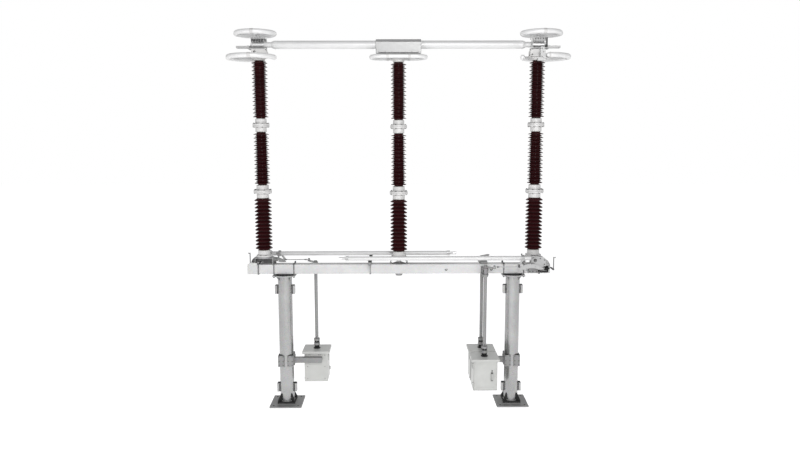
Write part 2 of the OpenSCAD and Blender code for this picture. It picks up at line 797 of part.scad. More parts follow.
module porcelain_centre() porcelain(centre_z, centre_low_cap);

module fittings_right() translate([col_x, 0, 0]) fittings(col_z, cap_h);

module fittings_left() translate([-col_x, 0, 0]) fittings(col_z, cap_h);

module fittings_centre() fittings(centre_z, centre_low_cap);

// Stool that is open from front to rear, with the seat of the column on top
module column_stools() {
    half_x = 172;
    side_t = 12;
    half_y = beam_w / 2 - 4;
    color(galvanised) on_both_sides() translate([col_x, 0, beam_top]) {
        for (side = [-1, 1]) scale([side, 1, 1]) slab([half_x - side_t, -half_y, 0], [half_x, half_y, stool_h - side_t + 1]);
        slab([-half_x, -half_y, stool_h - side_t], [half_x, half_y, stool_h]);
        translate([0, 0, stool_h - side_t]) cylinder(r = 150, h = seat_t + side_t);
    }
}

// ---------- heads of the outer columns ----------

box_in = col_x - 134;
box_out = col_x + 164;
box_low = col_top + 146;
finger_low = blade_z + tip_r + run_gap;
finger_high = finger_low + 40;
cover_t = 20;

// Base plate and two cheeks under the contact box
module contact_base() {
    plate_t = 20;
    cheek_x0 = col_x - 150;
    cheek_x1 = col_x + 130;
    slab([col_x - 150, -150, col_top], [col_x + 150, 150, col_top + plate_t]);
    for (y = [-100, 84]) difference() {
        upright(y, y + 16)
            polygon([[cheek_x0, col_top + plate_t - 1], [cheek_x1, col_top + plate_t - 1], [cheek_x1, box_low],
                [cheek_x0 + 30, box_low], [cheek_x0, box_low - 40]]);
        translate([col_x + 70, 0, col_top + 82]) cyl_y(36, y - 1, y + 17);
    }
    translate([col_x - 40, 0, col_top + plate_t - 1]) cylinder(r = 58, h = box_low - col_top - plate_t + 1);
}

module contact_bases() color(light_metal) on_both_sides() contact_base();

// Floor, inner end cheek and cover round the contact fingers, with a slanted stay at the outer end
module contact_box() {
    floor_t = 20;
    front_y = -110;
    cheek_w = 30;
    stay_x = box_out - 42;
    slab([box_in, front_y, box_low], [box_out + 26, 110, box_low + floor_t]);
    slab([box_in, front_y, box_low + floor_t - 1], [box_in + cheek_w, -tip_r - run_gap - 4, finger_high + 1]);
    slab([box_in, -74, finger_high], [box_out - 30, 70, finger_high + cover_t]);
    slab([box_in, front_y, finger_high], [box_in + cheek_w, -73, finger_high + cover_t]);
    upright(-74, -62)
        polygon([[stay_x, finger_high + 1], [stay_x + 22, finger_high + 1], [box_out + 12, box_low + floor_t + 40],
            [box_out + 12, box_low + floor_t - 1], [box_out - 8, box_low + floor_t - 1]]);
}

module contact_boxes() color(light_metal) on_both_sides() contact_box();

// Five spring fingers over the blade tip, joined by a front rail, their ends bent up before the cover
module contact_fingers() {
    count = 5;
    finger_w = 30;
    pitch = 46;
    first = box_in + 38;
    rail_top = finger_high - 16;
    color(galvanised) on_both_sides() {
        slab([first, -98, finger_low], [first + (count - 1) * pitch + finger_w, -76, rail_top]);
        for (i = [0:count - 1]) translate([first + i * pitch, 0, 0]) {
            slab([0, -98, rail_top - 1], [finger_w, -76, finger_high + cover_t]);
            slab([0, -77, finger_low], [finger_w, tip_r + 8, finger_high]);
        }
    }
}

// Dark end stop with its spring housing, past the last finger
module contact_stops() {
    color("#1d1e20") on_both_sides() {
        slab([box_out - 24, -108, box_low + 20], [box_out - 4, -78, finger_high + cover_t]);
        slab([box_out - 44, -108, box_low + 20], [box_out - 4, -78, box_low + 74]);
    }
}

top_ring_z = finger_high + cover_t + 84;

module top_rings() {
    spoke_half = 26;
    spoke_z = top_ring_z - 38;
    color(light_metal) on_both_sides() translate([col_x + 63, 0, 0]) {
        translate([0, 0, top_ring_z]) rotate_extrude($fn = 200)
            translate([ring_top_r, 0]) circle(r = ring_tube_r, $fn = 48);
        slab([-ring_top_r, -spoke_half, spoke_z], [ring_top_r, spoke_half, spoke_z + 12]);
        slab([-spoke_half, -ring_top_r, spoke_z], [spoke_half, ring_top_r, spoke_z + 12]);
        translate([0, 0, finger_high + cover_t])
            cylinder(r = 34, h = spoke_z - finger_high - cover_t + 1);
    }
}

// C-shaped ring, open towards the earthing blade, with ball ends and two struts
module grading_ring() {
    ring_x = col_x + 143;
    ring_z = col_top + 3;
    start = -92;
    sweep = 272;
    strut_z = col_top + 20;
    color(light_metal) {
        translate([ring_x, 0, ring_z]) {
            ring_arc(ring_low_r, ring_tube_r, start, sweep);
            for (tip = [[start, -1], [start + sweep, 1]]) rotate([0, 0, tip[0]])
                translate([ring_low_r, tip[1] * 12, 0]) sphere(r = ring_tube_r - 5);
        }
        slab([col_x + 80, -26, strut_z], [ring_x + ring_low_r, 26, strut_z + 12]);
        slab([col_x + 84, 104, strut_z], [col_x + 136, ring_low_r - 5, strut_z + 12]);
    }
}

module grading_ring_right() grading_ring();

module grading_ring_left() rotate([0, 0, 180]) grading_ring();

// Flat pads for the line conductors
module terminals() {
    pad_t = 38;
    pad_half = 62;
    pad_z = box_low + 20;
    hole_r = 7;
    color(light_metal) on_both_sides() difference() {
        slab([box_out + 1, -pad_half, pad_z], [col_x + 409, pad_half, pad_z + pad_t]);
        for (sx = [-1, 1], sy = [-1, 1]) translate([col_x + 335 + sx * 25, sy * 25, pad_z - 1])
            cylinder(r = hole_r, h = pad_t + 2);
    }
}

// Fork that takes the contact rod of a raised earthing blade
module earth_contact() {
    rod_x = pivot_x + tube_lift;
    half_gap = earth_tip_r + run_gap;
    jaw_t = 8;
    jaw_low = pivot_z + earth_reach - 14;
    root_x = rod_x + earth_tip_r + 12;
    top = col_top + 20;
    for (side = [-1, 1]) translate([0, -earth_y, 0]) scale([1, side, 1])
        slab([rod_x - 45, half_gap, jaw_low], [root_x + 40, half_gap + jaw_t, col_top - 30]);
    slab([root_x, -earth_y - half_gap - 1, jaw_low], [root_x + 40, -earth_y + half_gap + 1, top]);
    slab([root_x, -earth_y - half_gap, top], [root_x + 80, -101, top + 14]);
    slab([root_x + 1, -earth_y + half_gap, col_top - 46], [root_x + 39, -151, top]);
    translate([0, -earth_y - half_gap, 0]) upright(-jaw_t - 14, -jaw_t)
        polygon([[rod_x - 4, col_top - 46], [rod_x + 140, col_top - 46], [rod_x + 140, col_top + 30],
            [rod_x + 62, col_top + 40], [rod_x + 62, col_top + 150], [rod_x - 4, col_top + 150]]);
    slab([root_x + 2, -earth_y - half_gap - jaw_t - 1, col_top - 40], [root_x + 38, -earth_y - half_gap + 1, top]);
}

module earth_contacts() color(light_metal) on_both_sides() earth_contact();

// ---------- earthing switches ----------

module earth_tube() {
    collar_at = earth_reach - 150;
    color(light_metal) translate([pivot_x, -earth_y, pivot_z + tube_lift]) {
        difference() {
            cyl_x(earth_r, -collar_at, -10);
            cyl_x(earth_r - 5, -collar_at - 1, -60);
        }
        cyl_x(50, -collar_at - 20, -collar_at + 24);
        cyl_x(earth_tip_r, -earth_reach, -collar_at);
    }
}

// Casting at the hinge end of a blade, with its pivot pin, crank and strut
module earth_root() {
    strut_x = pivot_x - 210;
    color(light_metal) difference() {
        union() {
            upright(-earth_y - root_half_y, -earth_y + root_half_y)
                polygon([[pivot_x - 62, pivot_z - 44], [pivot_x + 20, pivot_z - 70], [pivot_x + 60, pivot_z - 115],
                    [pivot_x + 205, pivot_z - 115], [pivot_x + 205, pivot_z + 20], [pivot_x + 150, pivot_z + 58],
                    [pivot_x - 30, pivot_z + 78], [pivot_x - 62, pivot_z + 60]]);
            translate([pivot_x, 0, pivot_z]) cyl_y(30, -crank_y - crank_plate_t, -beam_w / 2 - 80);
            translate([pivot_x, -crank_y, pivot_z]) rotate([90, 45, 0])
                linear_extrude(crank_plate_t) lever_outline(crank_r, 52, 28);
            translate([pivot_x + crank_d, -crank_y, pivot_z - crank_d]) cyl_y(15, -crank_plate_t - 6, 0);
            translate([strut_x, -earth_y, pivot_z + tube_lift]) cyl_x(earth_r + 14, -24, 24);
            upright(-earth_y - earth_r - 30, -earth_y - earth_r - 8)
                polygon([[strut_x - 26, pivot_z + tube_lift - 10], [strut_x + 26, pivot_z + tube_lift + 18],
                    [strut_x - 66, pivot_z - 106], [strut_x - 108, pivot_z - 92]]);
            translate([strut_x - 86, 0, pivot_z - 98]) cyl_y(13, -earth_y - earth_r - 40, -earth_y - earth_r - 7);
        }
        translate([0, -earth_y, pivot_z + tube_lift]) cyl_x(earth_r + fit_gap, pivot_x - 400, pivot_x - 9);
    }
}

module earth_tube_right() earth_tube();

module earth_root_right() earth_root();

module earth_tube_left() rotate([0, 0, 180]) earth_tube();

module earth_root_left() rotate([0, 0, 180]) earth_root();

// Bracket on the beam that holds the pivot of an earthing blade, with a catch beside the tube
module earth_bracket() {
    plate_y = -beam_w / 2 - 88;
    foot_z = beam_top - 150;
    color(galvanised) difference() {
        union() {
            upright(plate_y - 16, plate_y)
                polygon([[pivot_x - 80, foot_z], [pivot_x + 100, foot_z], [pivot_x + 100, beam_top - 20],
                    [pivot_x + 52, pivot_z + 20], [pivot_x + 30, pivot_z + 50], [pivot_x - 30, pivot_z + 50],
                    [pivot_x - 52, pivot_z + 20], [pivot_x - 80, beam_top - 20]]);
            slab([pivot_x - 80, plate_y - 1, foot_z], [pivot_x + 100, -beam_w / 2, foot_z + 16]);
            slab([pivot_x - 80, -beam_w / 2 - 12, foot_z], [pivot_x + 100, -beam_w / 2, foot_z + 120]);
            for (x = [-80, 88]) slab([pivot_x + x, plate_y - 1, foot_z], [pivot_x + x + 12, -beam_w / 2, foot_z + 110]);
        }
        translate([pivot_x, 0, pivot_z]) cyl_y(30 + fit_gap, plate_y - 20, plate_y + 20);
    }
    color(dark_metal) upright(plate_y - 16, plate_y)
        polygon([[pivot_x - 190, pivot_z - 20], [pivot_x - 79, pivot_z - 150], [pivot_x - 79, pivot_z - 190],
            [pivot_x - 104, pivot_z - 190], [pivot_x - 215, pivot_z - 30], [pivot_x - 232, pivot_z + 95],
            [pivot_x - 206, pivot_z + 95], [pivot_x - 196, pivot_z + 40], [pivot_x - 170, pivot_z + 70],
            [pivot_x - 150, pivot_z + 50]]);
}

module earth_brackets() on_both_sides() earth_bracket();

// Balance spring in its frame on the face of the beam end
module balance_spring() {
    x0 = col_x + 76;
    x1 = col_x + 262;
    y0 = -beam_w / 2 - 100;
    low = beam_z + 36;
    high = beam_top - 12;
    side_t = 14;
    rod_r = 16;
    coil_r = 32;
    coil_pitch = 18;
    coil_w = 9;
    slab([x0, y0, low], [x0 + side_t, -beam_w / 2, high]);
    slab([x1 - side_t, y0, low], [x1, -beam_w / 2, high]);
    slab([x0, y0, low], [x1, -beam_w / 2 - 24, low + 12]);
    translate([0, -beam_w / 2 - 58, beam_top - 74]) {
        cyl_x(rod_r, x0 + side_t - 1, x1 - side_t + 1);
        for (i = [0:7]) cyl_x(coil_r, x0 + 24 + i * coil_pitch, x0 + 24 + coil_w + i * coil_pitch);
    }
}

module balance_springs() color("#1c1d1e") on_both_sides() balance_spring();

// Rounded guard over the spring
module spring_guards() {
    x0 = col_x + 152;
    guard_r = 128;
    low = beam_top - 12;
    color(light_metal) on_both_sides() difference() {
        translate([x0, 0, low]) difference() {
            cyl_y(guard_r, -beam_w / 2 - 100, -beam_w / 2 - 4);
            cyl_y(guard_r - 6, -beam_w / 2 - 94, -beam_w / 2);
            slab([-guard_r - 1, -600, -guard_r - 1], [guard_r + 1, 0, 0]);
            slab([-guard_r - 1, -600, -1], [-60, 0, guard_r + 1]);
        }
        slab([x0 - 70, -beam_w / 2 - 20, low - 10], [x0 + 20, 0, low + 200]);
    }
}

// Thin hooked rods at the ends of the beam
module indicator_rods() {
    rod_r = 9;
    x = beam_half + 26;
    y = -beam_w / 2 - 185;
    low = beam_top - 76;
    high = beam_top + 166;
    color(galvanised) on_both_sides() {
        slab([beam_half, y - 12, low], [x + 14, -beam_w / 2 + 40, low + 12]);
        translate([x, y, low + 11]) cylinder(r = rod_r, h = high - low - 11);
        translate([0, y, high - 12]) cyl_x(7, x, x + 34);
    }
}

// Cross-piece that carries both lowered earthing tubes
module blade_rest() {
    half_x = 26;
    pad_z = pivot_z + tube_lift - earth_r - fit_gap - 24;
    color(galvanised) {
        slab([rest_x - half_x, -earth_y - 45, beam_top + 12], [rest_x + half_x, earth_y + 45, beam_top + 34]);
        for (side = [-1, 1]) translate([0, side * earth_y, 0])
            slab([rest_x - half_x, -32, beam_top + 33], [rest_x + half_x, 32, pad_z]);
        clamp_frame(rest_x, true);
    }
}

module blade_rest_pads() {
    pad_top = pivot_z + tube_lift - earth_r - fit_gap;
    color("#141414") for (side = [-1, 1]) translate([0, side * earth_y, 0])
        slab([rest_x - 30, -44, pad_top - 24], [rest_x + 30, 44, pad_top]);
}

// ---------- output ----------

base_plates();
base_gussets();
leg_left();
leg_right();
leg_pads();
beam();
beam_clamps();
end_cheeks();
arm_clamps();
drive_arms();
cabinet_mounts();
cabinet_left();
cabinet_front();
cabinet_rear();
drive_units();
shaft_bearings();
centre_bearing();
column_stools();
blade_rest();
blade_rest_pads();
earth_brackets();
balance_springs();
spring_guards();
indicator_rods();
porcelain_left();
porcelain_right();
fittings_left();
fittings_right();
contact_bases();
contact_boxes();
contact_fingers();
contact_stops();
top_rings();
grading_ring_left();
grading_ring_right();
terminals();
earth_contacts();
rotor_base();
porcelain_centre();
fittings_centre();
rotor_head();
blade_hood();
main_blade();
blade_tips();
centre_ring();
shaft_main();
shaft_front();
shaft_left();
main_link();
earth_link_right();
earth_link_left();
earth_tube_right();
earth_root_right();
earth_tube_left();
earth_root_left();
door_front();
door_left();
door_rear();
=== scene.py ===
import math

import bmesh
import bpy
from mathutils import Matrix, Vector


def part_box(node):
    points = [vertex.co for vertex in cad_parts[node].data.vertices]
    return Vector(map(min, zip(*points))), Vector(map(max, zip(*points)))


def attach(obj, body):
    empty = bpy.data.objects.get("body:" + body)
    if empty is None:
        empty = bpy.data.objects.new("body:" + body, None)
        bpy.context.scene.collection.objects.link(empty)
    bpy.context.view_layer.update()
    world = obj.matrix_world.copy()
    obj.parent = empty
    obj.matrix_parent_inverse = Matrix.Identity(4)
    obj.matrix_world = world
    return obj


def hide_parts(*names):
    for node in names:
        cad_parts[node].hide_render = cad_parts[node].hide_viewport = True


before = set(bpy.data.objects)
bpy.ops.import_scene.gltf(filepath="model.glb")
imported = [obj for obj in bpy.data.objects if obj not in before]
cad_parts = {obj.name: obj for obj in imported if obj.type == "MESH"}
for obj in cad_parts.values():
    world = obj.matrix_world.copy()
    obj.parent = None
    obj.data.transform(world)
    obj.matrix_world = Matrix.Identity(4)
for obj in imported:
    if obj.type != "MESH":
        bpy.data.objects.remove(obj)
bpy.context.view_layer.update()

# ---------------------------------------------------------------- sizes from the frame

ROOT = "frame"
BLADE = "rotor"

column_low, column_top = (corner.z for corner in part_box("fittings_right"))
centre_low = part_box("fittings_centre")[0].z
unit_h = (column_top - column_low) / 3
beam_low, beam_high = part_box("beam")
blade_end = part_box("main_blade")[1].x


def centre_of(node):
    low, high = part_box(node)
    return (low + high) / 2


col_x = centre_of("porcelain_right").x
blade_z = centre_of("main_blade").z


# ---------------------------------------------------------------- mesh helpers

class Shape:
    """Collects faces in one bmesh, then becomes one object that rides on a body."""

    def __init__(self, name):
        self.name = name
        self.turn = Matrix.Identity(4)
        self.bm = bmesh.new()

    def add(self, other, matrix=Matrix.Identity(4)):
        mesh = bpy.data.meshes.new("part")
        other.to_mesh(mesh)
        other.free()
        mesh.transform(self.turn @ matrix)
        self.bm.from_mesh(mesh)
        bpy.data.meshes.remove(mesh)

    def finish(self, material, body=ROOT, slot=None, replaces=(), smooth=35):
        bmesh.ops.recalc_face_normals(self.bm, faces=self.bm.faces)
        mesh = bpy.data.meshes.new(self.name)
        self.bm.to_mesh(mesh)
        self.bm.free()
        obj = bpy.data.objects.new(self.name, mesh)
        bpy.context.scene.collection.objects.link(obj)
        mesh.shade_smooth()
        mesh.set_sharp_from_angle(angle=math.radians(smooth))
        mesh.materials.append(material)
        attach(obj, body)
        if replaces:
            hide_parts(*replaces)


def along(start, end):
    """Matrix that puts +Z on the line from start to end, with its origin at start."""
    start, end = Vector(start), Vector(end)
    turn = (end - start).to_track_quat("Z", "Y").to_matrix().to_4x4()
    return Matrix.Translation(start) @ turn


def lathe(profile, segments=48, closed=False):
    """Turns a list of (radius, height) points about Z."""
    bm = bmesh.new()
    rings = []
    for radius, z in profile:
        if radius < 1e-6:
            rings.append([bm.verts.new((0, 0, z))])
        else:
            turn = [2 * math.pi * i / segments for i in range(segments)]
            rings.append([bm.verts.new((radius * math.cos(a), radius * math.sin(a), z)) for a in turn])
    pairs = list(zip(rings, rings[1:]))
    if closed:
        pairs.append((rings[-1], rings[0]))
    for a, b in pairs:
        for i in range(segments):
            j = (i + 1) % segments
            if len(a) == 1 and len(b) == 1:
                break
            if len(a) == 1:
                bm.faces.new((a[0], b[i], b[j]))
            elif len(b) == 1:
                bm.faces.new((a[i], a[j], b[0]))
            else:
                bm.faces.new((a[i], a[j], b[j], b[i]))
    return bm


def block(size, bevel=0.002):
    """A box centred on the origin, with bevelled edges."""
    bm = bmesh.new()
    bmesh.ops.create_cube(bm, size=1)
    bmesh.ops.scale(bm, vec=size, verts=bm.verts)
    if bevel:
        bmesh.ops.bevel(bm, geom=bm.edges[:], offset=bevel, segments=2, affect="EDGES", profile=0.6)
    return bm


def prism(outline, thickness, bevel=0.002):
    """An outline in X and Y, as thick as asked along Z, with bevelled rims."""
    bm = bmesh.new()
    face = bm.faces.new([bm.verts.new((x, y, 0)) for x, y in outline])
    out = bmesh.ops.extrude_face_region(bm, geom=[face])
    moved = [v for v in out["geom"] if isinstance(v, bmesh.types.BMVert)]
    bmesh.ops.translate(bm, vec=(0, 0, thickness), verts=moved)
    bmesh.ops.recalc_face_normals(bm, faces=bm.faces)
    if bevel:
        bmesh.ops.bevel(bm, geom=bm.edges[:], offset=bevel, segments=2, affect="EDGES", profile=0.6)
    return bm


def tube_along(points, radius, segments=12, capped=True):
    """A round tube that follows a list of points."""
    bm = bmesh.new()
    points = [Vector(p) for p in points]
    rings = []
    side = None
    for i, p in enumerate(points):
        ahead = points[min(i + 1, len(points) - 1)] - points[max(i - 1, 0)]
        ahead.normalize()
        if side is None:
            side = ahead.orthogonal().normalized()
        side = (side - ahead * side.dot(ahead)).normalized()
        up = ahead.cross(side)
        turn = [2 * math.pi * k / segments for k in range(segments)]
        rings.append([bm.verts.new(p + radius * (math.cos(a) * side + math.sin(a) * up)) for a in turn])
    for a, b in zip(rings, rings[1:]):
        for i in range(segments):
            j = (i + 1) % segments
            bm.faces.new((a[i], a[j], b[j], b[i]))
    if capped:
        bm.faces.new(rings[0][::-1])
        bm.faces.new(rings[-1])
    return bm


def arc(centre, radius, start, end, steps=16):
    """Points on an arc in a plane, angles in degrees."""
    out = []
    for i in range(steps + 1):
        a = math.radians(start + (end - start) * i / steps)
        out.append((centre[0] + radius * math.cos(a), centre[1] + radius * math.sin(a)))
    return out


UP = (0, 0, 1)
DOWN = (0, 0, -1)
FRONT = (0, -1, 0)

# Parts of a bolt as shares of its size
WASHER_R = 1.25
WASHER_T = 0.16
HEX_HEAD_H = 0.6
SHANK_R = 0.55


def bolt(shape, at, axis, size, washer=True, shank=0.0):
    """A hexagon head of half-width size on a washer, its seat at the given point."""
    at, axis = Vector(at), Vector(axis).normalized()
    matrix = along(at, at + axis)
    base = 0.0
    if washer:
        base = size * WASHER_T
        shape.add(lathe([(0, 0), (size * WASHER_R, 0), (size * WASHER_R, base), (0, base)], 20), matrix)
    head = size * HEX_HEAD_H
    crown = base + head
    hexagon = [(0, base), (size, base), (size, base + head * 0.85), (size * 0.86, crown), (0, crown)]
    shape.add(lathe(hexagon, 6), matrix)
    if shank:
        top = crown + shank
        r = size * SHANK_R
        root = crown - 0.001
        shape.add(lathe([(0, root), (r, root), (r, top - r * 0.3), (r * 0.7, top), (0, top)], 16), matrix)


# Turn from one point of a weld bead to the next, in radians
BEAD_STEP = 2.1


def bead(shape, path, radius, lumps=0.25):
    """A weld bead along a path, slightly lumpy."""
    points = [Vector(p) + Vector((0, 0, radius * lumps * math.sin(i * BEAD_STEP))) for i, p in enumerate(path)]
    shape.add(tube_along(points, radius, 8))


def ring_path(centre, radius, steps=72):
    """Points around a full level ring."""
    return [(x, y, centre[2]) for x, y in arc(centre, radius, 0, 360, steps)]


def around(centre, radius, count):
    """Points at equal steps around a level circle, the first half a step from the X axis."""
    steps = [2 * math.pi * (i + 0.5) / count for i in range(count)]
    return [Vector(centre) + Vector((radius * math.cos(a), radius * math.sin(a), 0)) for a in steps]


def half_turn():
    return Matrix.Rotation(math.pi, 4, "Z")


# ---------------------------------------------------------------- materials

class Nodes:
    """Short calls for building one material's node tree."""

    def __init__(self, name):
        self.material = bpy.data.materials.new(name)
        self.material.use_nodes = True
        self.tree = self.material.node_tree
        self.shader = self.tree.nodes["Principled BSDF"]
        self.place = self.new("ShaderNodeTexCoord").outputs["Object"]

    def new(self, kind, **settings):
        node = self.tree.nodes.new(kind)
        for key, value in settings.items():
            setattr(node, key, value)
        return node

    def link(self, source, target):
        self.tree.links.new(source, target)

    def scaled(self, x, y, z):
        mapping = self.new("ShaderNodeMapping")
        mapping.inputs["Scale"].default_value = (x, y, z)
        self.link(self.place, mapping.inputs["Vector"])
        return mapping.outputs["Vector"]

    def noise(self, scale, detail=4.0, rough=0.55, vector=None):
        node = self.new("ShaderNodeTexNoise")
        node.inputs["Scale"].default_value = scale
        node.inputs["Detail"].default_value = detail
        node.inputs["Roughness"].default_value = rough
        self.link(vector or self.place, node.inputs["Vector"])
        return node.outputs["Fac"]

    def cells(self, scale):
        node = self.new("ShaderNodeTexVoronoi")
        node.inputs["Scale"].default_value = scale
        self.link(self.place, node.inputs["Vector"])
        return node.outputs["Color"]

    def ramp(self, value, stops):
        node = self.new("ShaderNodeValToRGB")
        ramp = node.color_ramp
        while len(ramp.elements) < len(stops):
            ramp.elements.new(0.5)
        for element, (position, colour) in zip(ramp.elements, stops):
            element.position = position
            element.color = (*colour, 1)
        self.link(value, node.inputs["Fac"])
        return node.outputs["Color"]

    def mix(self, factor, a, b, blend="MIX"):
        node = self.new("ShaderNodeMix", data_type="RGBA", blend_type=blend)
        if isinstance(factor, (int, float)):
            node.inputs[0].default_value = factor
        else:
            self.link(factor, node.inputs[0])
        for value, socket in ((a, node.inputs[6]), (b, node.inputs[7])):
            if isinstance(value, tuple):
                socket.default_value = (*value, 1)
            else:
                self.link(value, socket)
        return node.outputs[2]

    def span(self, value, low, high):
        node = self.new("ShaderNodeMapRange")
        node.inputs["To Min"].default_value = low
        node.inputs["To Max"].default_value = high
        self.link(value, node.inputs["Value"])
        return node.outputs["Result"]

    def bump(self, height, strength, distance):
        node = self.new("ShaderNodeBump")
        node.inputs["Strength"].default_value = strength
        node.inputs["Distance"].default_value = distance
        self.link(height, node.inputs["Height"])
        self.link(node.outputs["Normal"], self.shader.inputs["Normal"])

    def set(self, **values):
        names = {"metallic": "Metallic", "coat": "Coat Weight", "coat_rough": "Coat Roughness",
                 "specular": "Specular IOR Level", "rough": "Roughness"}
        for key, value in values.items():
            self.shader.inputs[names[key]].default_value = value


SPANGLE = 55.0


def grey(value, warmth=0.0):
    return (value * (1 + warmth), value, value * (1 - warmth))


def galvanised(name, light, metallic=0.35, streaks=0.12, rough=(0.42, 0.6)):
    """Hot-dip zinc: faint spangle, cloudy tone, rain streaks and a slightly uneven skin."""
    n = Nodes(name)
    cloud = n.noise(2.6, 5, 0.6)
    fine = n.noise(38, 4, 0.6)
    cells = n.cells(SPANGLE)
    drip = n.noise(9, 4, 0.6, n.scaled(9, 9, 0.5))
    base = n.ramp(cloud, [(0.3, grey(light * 0.9)), (0.7, grey(light * 1.07))])
    base = n.mix(0.06, base, cells, "OVERLAY")
    base = n.mix(n.span(drip, 0.0, streaks), base, grey(light * 0.6, 0.02))
    n.link(base, n.shader.inputs["Base Color"])
    n.link(n.span(fine, *rough), n.shader.inputs["Roughness"])
    n.set(metallic=metallic)
    n.bump(fine, 0.18, 0.002)
    return n.material


def porcelain_glaze():
    """Dark brown glaze: thick and glossy, with a painted reddish sheen where the surface turns away from the
    view.
    """
    n = Nodes("porcelain_glaze")
    cloud = n.noise(5, 5, 0.6)
    speck = n.noise(160, 3, 0.5)
    base = n.ramp(cloud, [(0.3, (0.020, 0.0038, 0.0045)), (0.7, (0.032, 0.006, 0.007))])
    # Painted sheen: the colour turns redder towards grazing view, standing in for reddish highlights.
    edge = n.new("ShaderNodeLayerWeight")
    edge.inputs["Blend"].default_value = 0.25
    base = n.mix(n.span(edge.outputs["Facing"], 0.0, 0.35), base, (0.05, 0.012, 0.013))
    n.link(base, n.shader.inputs["Base Color"])
    n.link(n.span(speck, 0.16, 0.3), n.shader.inputs["Roughness"])
    n.set(coat=0.03, coat_rough=0.12, specular=0.07)
    n.bump(n.noise(45, 3, 0.5), 0.12, 0.001)
    return n.material


def cast_metal(name, light):
    """Sand-cast and galvanised: pale, grainy, with small pits."""
    n = Nodes(name)
    grain = n.noise(120, 5, 0.65)
    cloud = n.noise(6, 4, 0.6)
    base = n.ramp(cloud, [(0.3, grey(light * 0.92, 0.01)), (0.7, grey(light * 1.06, 0.01))])
    base = n.mix(n.span(grain, 0.0, 0.25), base, grey(light * 0.7))
    n.link(base, n.shader.inputs["Base Color"])
    n.link(n.span(grain, 0.45, 0.65), n.shader.inputs["Roughness"])
    n.set(metallic=0.2)
    n.bump(grain, 0.35, 0.0015)
    return n.material


def spun_aluminium(name, light, stretch=(1, 14, 14), metallic=0.4):
    """Drawn or spun aluminium: fine lines along the tube, dull handling marks."""
    n = Nodes(name)
    lines = n.noise(30, 4, 0.6, n.scaled(*stretch))
    cloud = n.noise(3.5, 5, 0.6)
    marks = n.noise(22, 5, 0.7)
    base = n.ramp(cloud, [(0.3, grey(light * 0.94)), (0.7, grey(light * 1.04))])
    base = n.mix(n.span(lines, 0.0, 0.14), base, grey(light * 0.75))
    n.link(base, n.shader.inputs["Base Color"])
    n.link(n.span(marks, 0.28, 0.5), n.shader.inputs["Roughness"])
    n.set(metallic=metallic)
    n.bump(lines, 0.08, 0.001)
    return n.material


def cabinet_paint():
    """Powder coat: pale grey with orange peel and faint dust streaks."""
    n = Nodes("cabinet_paint")
    peel = n.noise(420, 2, 0.5)
    cloud = n.noise(3, 5, 0.6)
    dust = n.noise(14, 5, 0.65, n.scaled(3, 3, 0.6))
    base = n.ramp(cloud, [(0.3, (0.46, 0.465, 0.45)), (0.7, (0.52, 0.525, 0.51))])
    base = n.mix(n.span(dust, 0.0, 0.18), base, (0.36, 0.36, 0.34))
    n.link(base, n.shader.inputs["Base Color"])
    n.link(n.span(cloud, 0.34, 0.5), n.shader.inputs["Roughness"])
    n.set(coat=0.15, coat_rough=0.3)
    n.bump(peel, 0.12, 0.0006)
    return n.material


def dark_steel(name, light=0.02):
    """Dark weathered steel with worn, slightly rusty edges."""
    n = Nodes(name)
    cloud = n.noise(18, 6, 0.65)
    grain = n.noise(150, 4, 0.6)
    rust = (light * 3.0, light * 2.5, light * 2.2)
    base = n.ramp(cloud, [(0.3, grey(light * 0.7)), (0.62, grey(light * 1.4)), (0.8, rust)])
    n.link(base, n.shader.inputs["Base Color"])
    n.link(n.span(grain, 0.45, 0.7), n.shader.inputs["Roughness"])
    n.set(metallic=0.3)
    n.bump(grain, 0.3, 0.001)
    return n.material


def rubber():
    n = Nodes("rubber")
    grain = n.noise(240, 3, 0.6)
    cloud = n.noise(12, 4, 0.6)
    base = n.ramp(cloud, [(0.3, grey(0.008)), (0.7, grey(0.018))])
    n.link(base, n.shader.inputs["Base Color"])
    n.link(n.span(grain, 0.6, 0.8), n.shader.inputs["Roughness"])
    n.bump(grain, 0.25, 0.0008)
    return n.material


def cement():
    """The pale sanded joint where the porcelain enters its fitting."""
    n = Nodes("cement")
    grain = n.noise(300, 4, 0.7)
    base = n.ramp(grain, [(0.3, (0.30, 0.28, 0.25)), (0.7, (0.5, 0.48, 0.44))])
    n.link(base, n.shader.inputs["Base Color"])
    n.set(rough=0.9)
    n.bump(grain, 0.6, 0.001)
    return n.material


def bolt_metal():
    n = Nodes("bolt_metal")
    grain = n.noise(200, 4, 0.6)
    cloud = n.noise(30, 4, 0.6)
    base = n.ramp(cloud, [(0.3, grey(0.08)), (0.7, grey(0.18, 0.01))])
    n.link(base, n.shader.inputs["Base Color"])
    n.link(n.span(grain, 0.3, 0.5), n.shader.inputs["Roughness"])
    n.set(metallic=0.7)
    n.bump(grain, 0.2, 0.0006)
    return n.material


STEEL = galvanised("galvanised_steel", 0.27)
LEG_STEEL = galvanised("galvanised_tube", 0.38, metallic=0.9, rough=(0.22, 0.30))
BEAM_STEEL = galvanised("galvanised_beam", 0.56, streaks=0.1)
CAST = cast_metal("cast_fitting", 0.60)
ALU = spun_aluminium("aluminium_tube", 0.62, metallic=0.12)
RING_ALU = spun_aluminium("aluminium_ring", 0.70, (8, 8, 8), metallic=0.12)
SHEET_ALU = spun_aluminium("aluminium_sheet", 0.34, (2, 12, 12), metallic=0.2)
PLATE_ALU = spun_aluminium("aluminium_plate", 0.42, (3, 8, 8))
GLAZE = porcelain_glaze()
PAINT = cabinet_paint()
# Dark steel serves real dark steel parts and dark plates that are painted shade.
DARK_STEEL_AND_SHADE = dark_steel("dark_steel")
SPRING = dark_steel("spring_steel", 0.012)
